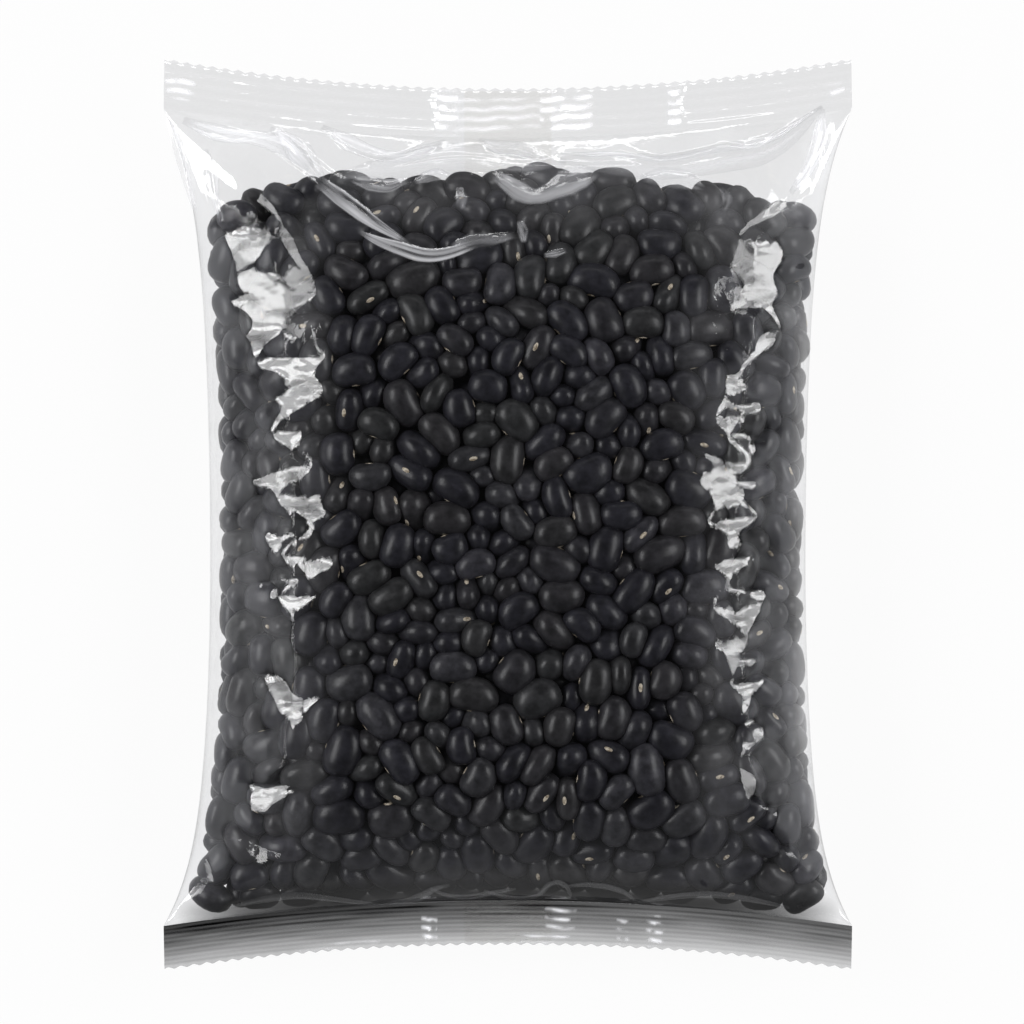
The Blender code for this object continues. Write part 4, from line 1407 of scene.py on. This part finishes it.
def floor_material():
    material, nodes, links = new_material("pale_floor")
    output = nodes.new("ShaderNodeOutputMaterial")
    glow = add_node(nodes, "ShaderNodeEmission", Color=(1.0, 1.0, 1.0, 1.0))
    path = nodes.new("ShaderNodeLightPath")
    strength = add_node(nodes, "ShaderNodeMapRange", To_Min=FLOOR_GLOW)
    coordinates = nodes.new("ShaderNodeTexCoord")
    direction = add_node(nodes, "ShaderNodeVectorMath", settings={"operation": "NORMALIZE"})
    parts = nodes.new("ShaderNodeSeparateXYZ")
    sideways = add_node(nodes, "ShaderNodeMath", settings={"operation": "ABSOLUTE"})
    mirrored = add_node(nodes, "ShaderNodeMapRange", From_Min=0.45, From_Max=0.85)
    mirrored.inputs["To Min"].default_value = MIRRORED_GLOW[0]
    mirrored.inputs["To Max"].default_value = MIRRORED_GLOW[1]
    links.new(coordinates.outputs["Object"], direction.inputs[0])
    links.new(direction.outputs["Vector"], parts.inputs[0])
    links.new(parts.outputs["X"], sideways.inputs[0])
    links.new(sideways.outputs[0], mirrored.inputs["Value"])
    links.new(mirrored.outputs["Result"], strength.inputs["To Max"])
    links.new(path.outputs["Is Glossy Ray"], strength.inputs["Value"])
    links.new(strength.outputs["Result"], glow.inputs["Strength"])
    paint = add_node(nodes, "ShaderNodeBsdfDiffuse", Color=(FLOOR_PAINT, FLOOR_PAINT, FLOOR_PAINT, 1.0))
    total = nodes.new("ShaderNodeAddShader")
    links.new(glow.outputs[0], total.inputs[0])
    links.new(paint.outputs[0], total.inputs[1])
    links.new(total.outputs[0], output.inputs["Surface"])
    return material


# Stage


FLOOR_GLOW = 0.94
MIRRORED_GLOW = (0.15, 0.8)
FLOOR_PAINT = 0.05
FLOOR_SIZE = 6.0
FLOOR_LEVEL = -0.0003

# Lights: tilt to the side and forward lean in degrees, distance and size in metres, radiance
SOFTBOXES = (
    ("left_light", -50.0, 14.0, 1.6, (1.3, 0.62), 4.6),
    ("left_bar_near", -50.0, -4.0, 1.58, (0.16, 0.6), 4.5),
    ("left_bar_middle", -50.0, 13.0, 1.58, (0.14, 0.6), 6.5),
    ("left_bar_far", -50.0, 29.0, 1.58, (0.20, 0.6), 5.0),
    ("right_light", 50.0, 14.0, 1.6, (1.3, 0.62), 3.8),
    ("right_bar_near", 50.0, -1.0, 1.58, (0.14, 0.6), 4.5),
    ("right_bar_middle", 50.0, 16.0, 1.58, (0.18, 0.6), 5.5),
    ("right_bar_far", 50.0, 31.0, 1.58, (0.14, 0.6), 4.5),
    ("far_light", 0.0, 75.0, 1.6, (1.6, 0.10), 4.5),
)


def add_floor():
    bpy.ops.mesh.primitive_plane_add(size=FLOOR_SIZE, location=(0.0, 0.0, FLOOR_LEVEL))
    floor = bpy.context.object
    floor.name = "floor"
    floor.data.materials.append(floor_material())


def add_softbox(name, tilt, forward, distance, size, radiance):
    """A rectangular light that faces the bag; the first size is level, the second rises with the light."""
    light = bpy.data.lights.new(name, "AREA")
    light.shape = "RECTANGLE"
    light.size, light.size_y = size
    light.energy = radiance * math.pi * size[0] * size[1]
    lamp = bpy.data.objects.new(name, light)
    across, ahead = math.tan(math.radians(tilt)), math.tan(math.radians(forward))
    direction = Vector((across, ahead, 1.0)).normalized()
    lamp.location = direction * distance
    lamp.rotation_euler = direction.to_track_quat("Z", "Y").to_euler()
    bpy.context.scene.collection.objects.link(lamp)


def add_world():
    """Dim overhead and paler near the horizon, as in a white studio with the lights at its sides."""
    world = bpy.data.worlds.new("studio")
    bpy.context.scene.world = world
    world.use_nodes = True
    nodes, links = world.node_tree.nodes, world.node_tree.links
    for node in list(nodes):
        nodes.remove(node)
    output = nodes.new("ShaderNodeOutputWorld")
    background = nodes.new("ShaderNodeBackground")
    ramp = nodes.new("ShaderNodeValToRGB")
    separate = nodes.new("ShaderNodeSeparateXYZ")
    coordinates = nodes.new("ShaderNodeTexCoord")
    ramp.color_ramp.elements[0].position = 0.25
    ramp.color_ramp.elements[0].color = (0.36, 0.365, 0.38, 1.0)
    ramp.color_ramp.elements[1].position = 0.8
    ramp.color_ramp.elements[1].color = (0.05, 0.05, 0.052, 1.0)
    links.new(coordinates.outputs["Generated"], separate.inputs[0])
    links.new(separate.outputs["Z"], ramp.inputs["Fac"])
    shifted = add_node(nodes, "ShaderNodeMath", settings={"operation": "SUBTRACT"})
    shifted.inputs[1].default_value = 0.04
    sideways = add_node(nodes, "ShaderNodeMath", settings={"operation": "ABSOLUTE"})
    strength = add_node(nodes, "ShaderNodeMapRange", From_Min=0.3, From_Max=0.75, To_Min=0.38, To_Max=2.2)
    links.new(separate.outputs["X"], shifted.inputs[0])
    links.new(shifted.outputs[0], sideways.inputs[0])
    links.new(sideways.outputs[0], strength.inputs["Value"])
    links.new(strength.outputs["Result"], background.inputs["Strength"])
    links.new(ramp.outputs["Color"], background.inputs["Color"])
    links.new(background.outputs[0], output.inputs["Surface"])


# Camera: straight above, with the frame's width at the level of the film's middle
CAMERA_HEIGHT = 1.30
CAMERA_PLACE = (0.0009, 0.0004)
FRAME_WIDTH = 0.2226
FRAME_LEVEL = 0.018
SENSOR_WIDTH = 36.0


def add_camera():
    data = bpy.data.cameras.new("camera")
    data.sensor_width = SENSOR_WIDTH
    data.lens = data.sensor_width * (CAMERA_HEIGHT - FRAME_LEVEL) / FRAME_WIDTH
    data.clip_end = 20.0
    camera = bpy.data.objects.new("camera", data)
    camera.location = (*CAMERA_PLACE, CAMERA_HEIGHT)
    bpy.context.scene.collection.objects.link(camera)
    bpy.context.scene.camera = camera


def build():
    grain = grain_group()
    beans = bean_material(grain)
    scars = scar_material(grain)
    film = film_material("clear_film", grain, (0.957, 0.958, 0.962), 0.04, 0.075, 420.0, 0.5)
    seam = film_material("seam_film", grain, (0.985, 0.980, 0.965), 0.08, 0.04, 900.0, 0.4)
    add_front_film(film)
    add_slack_folds(film)
    add_back_film(film)
    add_seal("top_seal", True, film)
    add_seal("bottom_seal", False, film)
    add_back_seam(seam)
    add_core(beans)
    packed = tucked_in(pack_beans(Container(), PACKING_STEPS))
    depth, inward = packed[3], packed[4]
    outer = depth < FIRST_LAYER_DEPTH
    facing_front = inward[:, 2] < FRONT_FACING
    groups = (
        ("front_beans", outer & facing_front, 20, 12, True),
        ("back_beans", outer & ~facing_front, 14, 9, True),
        ("deep_beans", ~outer, 12, 8, False),
    )
    for number, (name, chosen, around, along, scarred) in enumerate(groups):
        made = add_beans(name, chosen, around, along, beans, packed, SEED + number + 1)
        if scarred:
            add_scars(name.replace("beans", "bean_scars"), made, scars)


build()
add_floor()
for softbox in SOFTBOXES:
    add_softbox(*softbox)
add_world()
add_camera()
bpy.context.scene.view_settings.view_transform = "Standard"
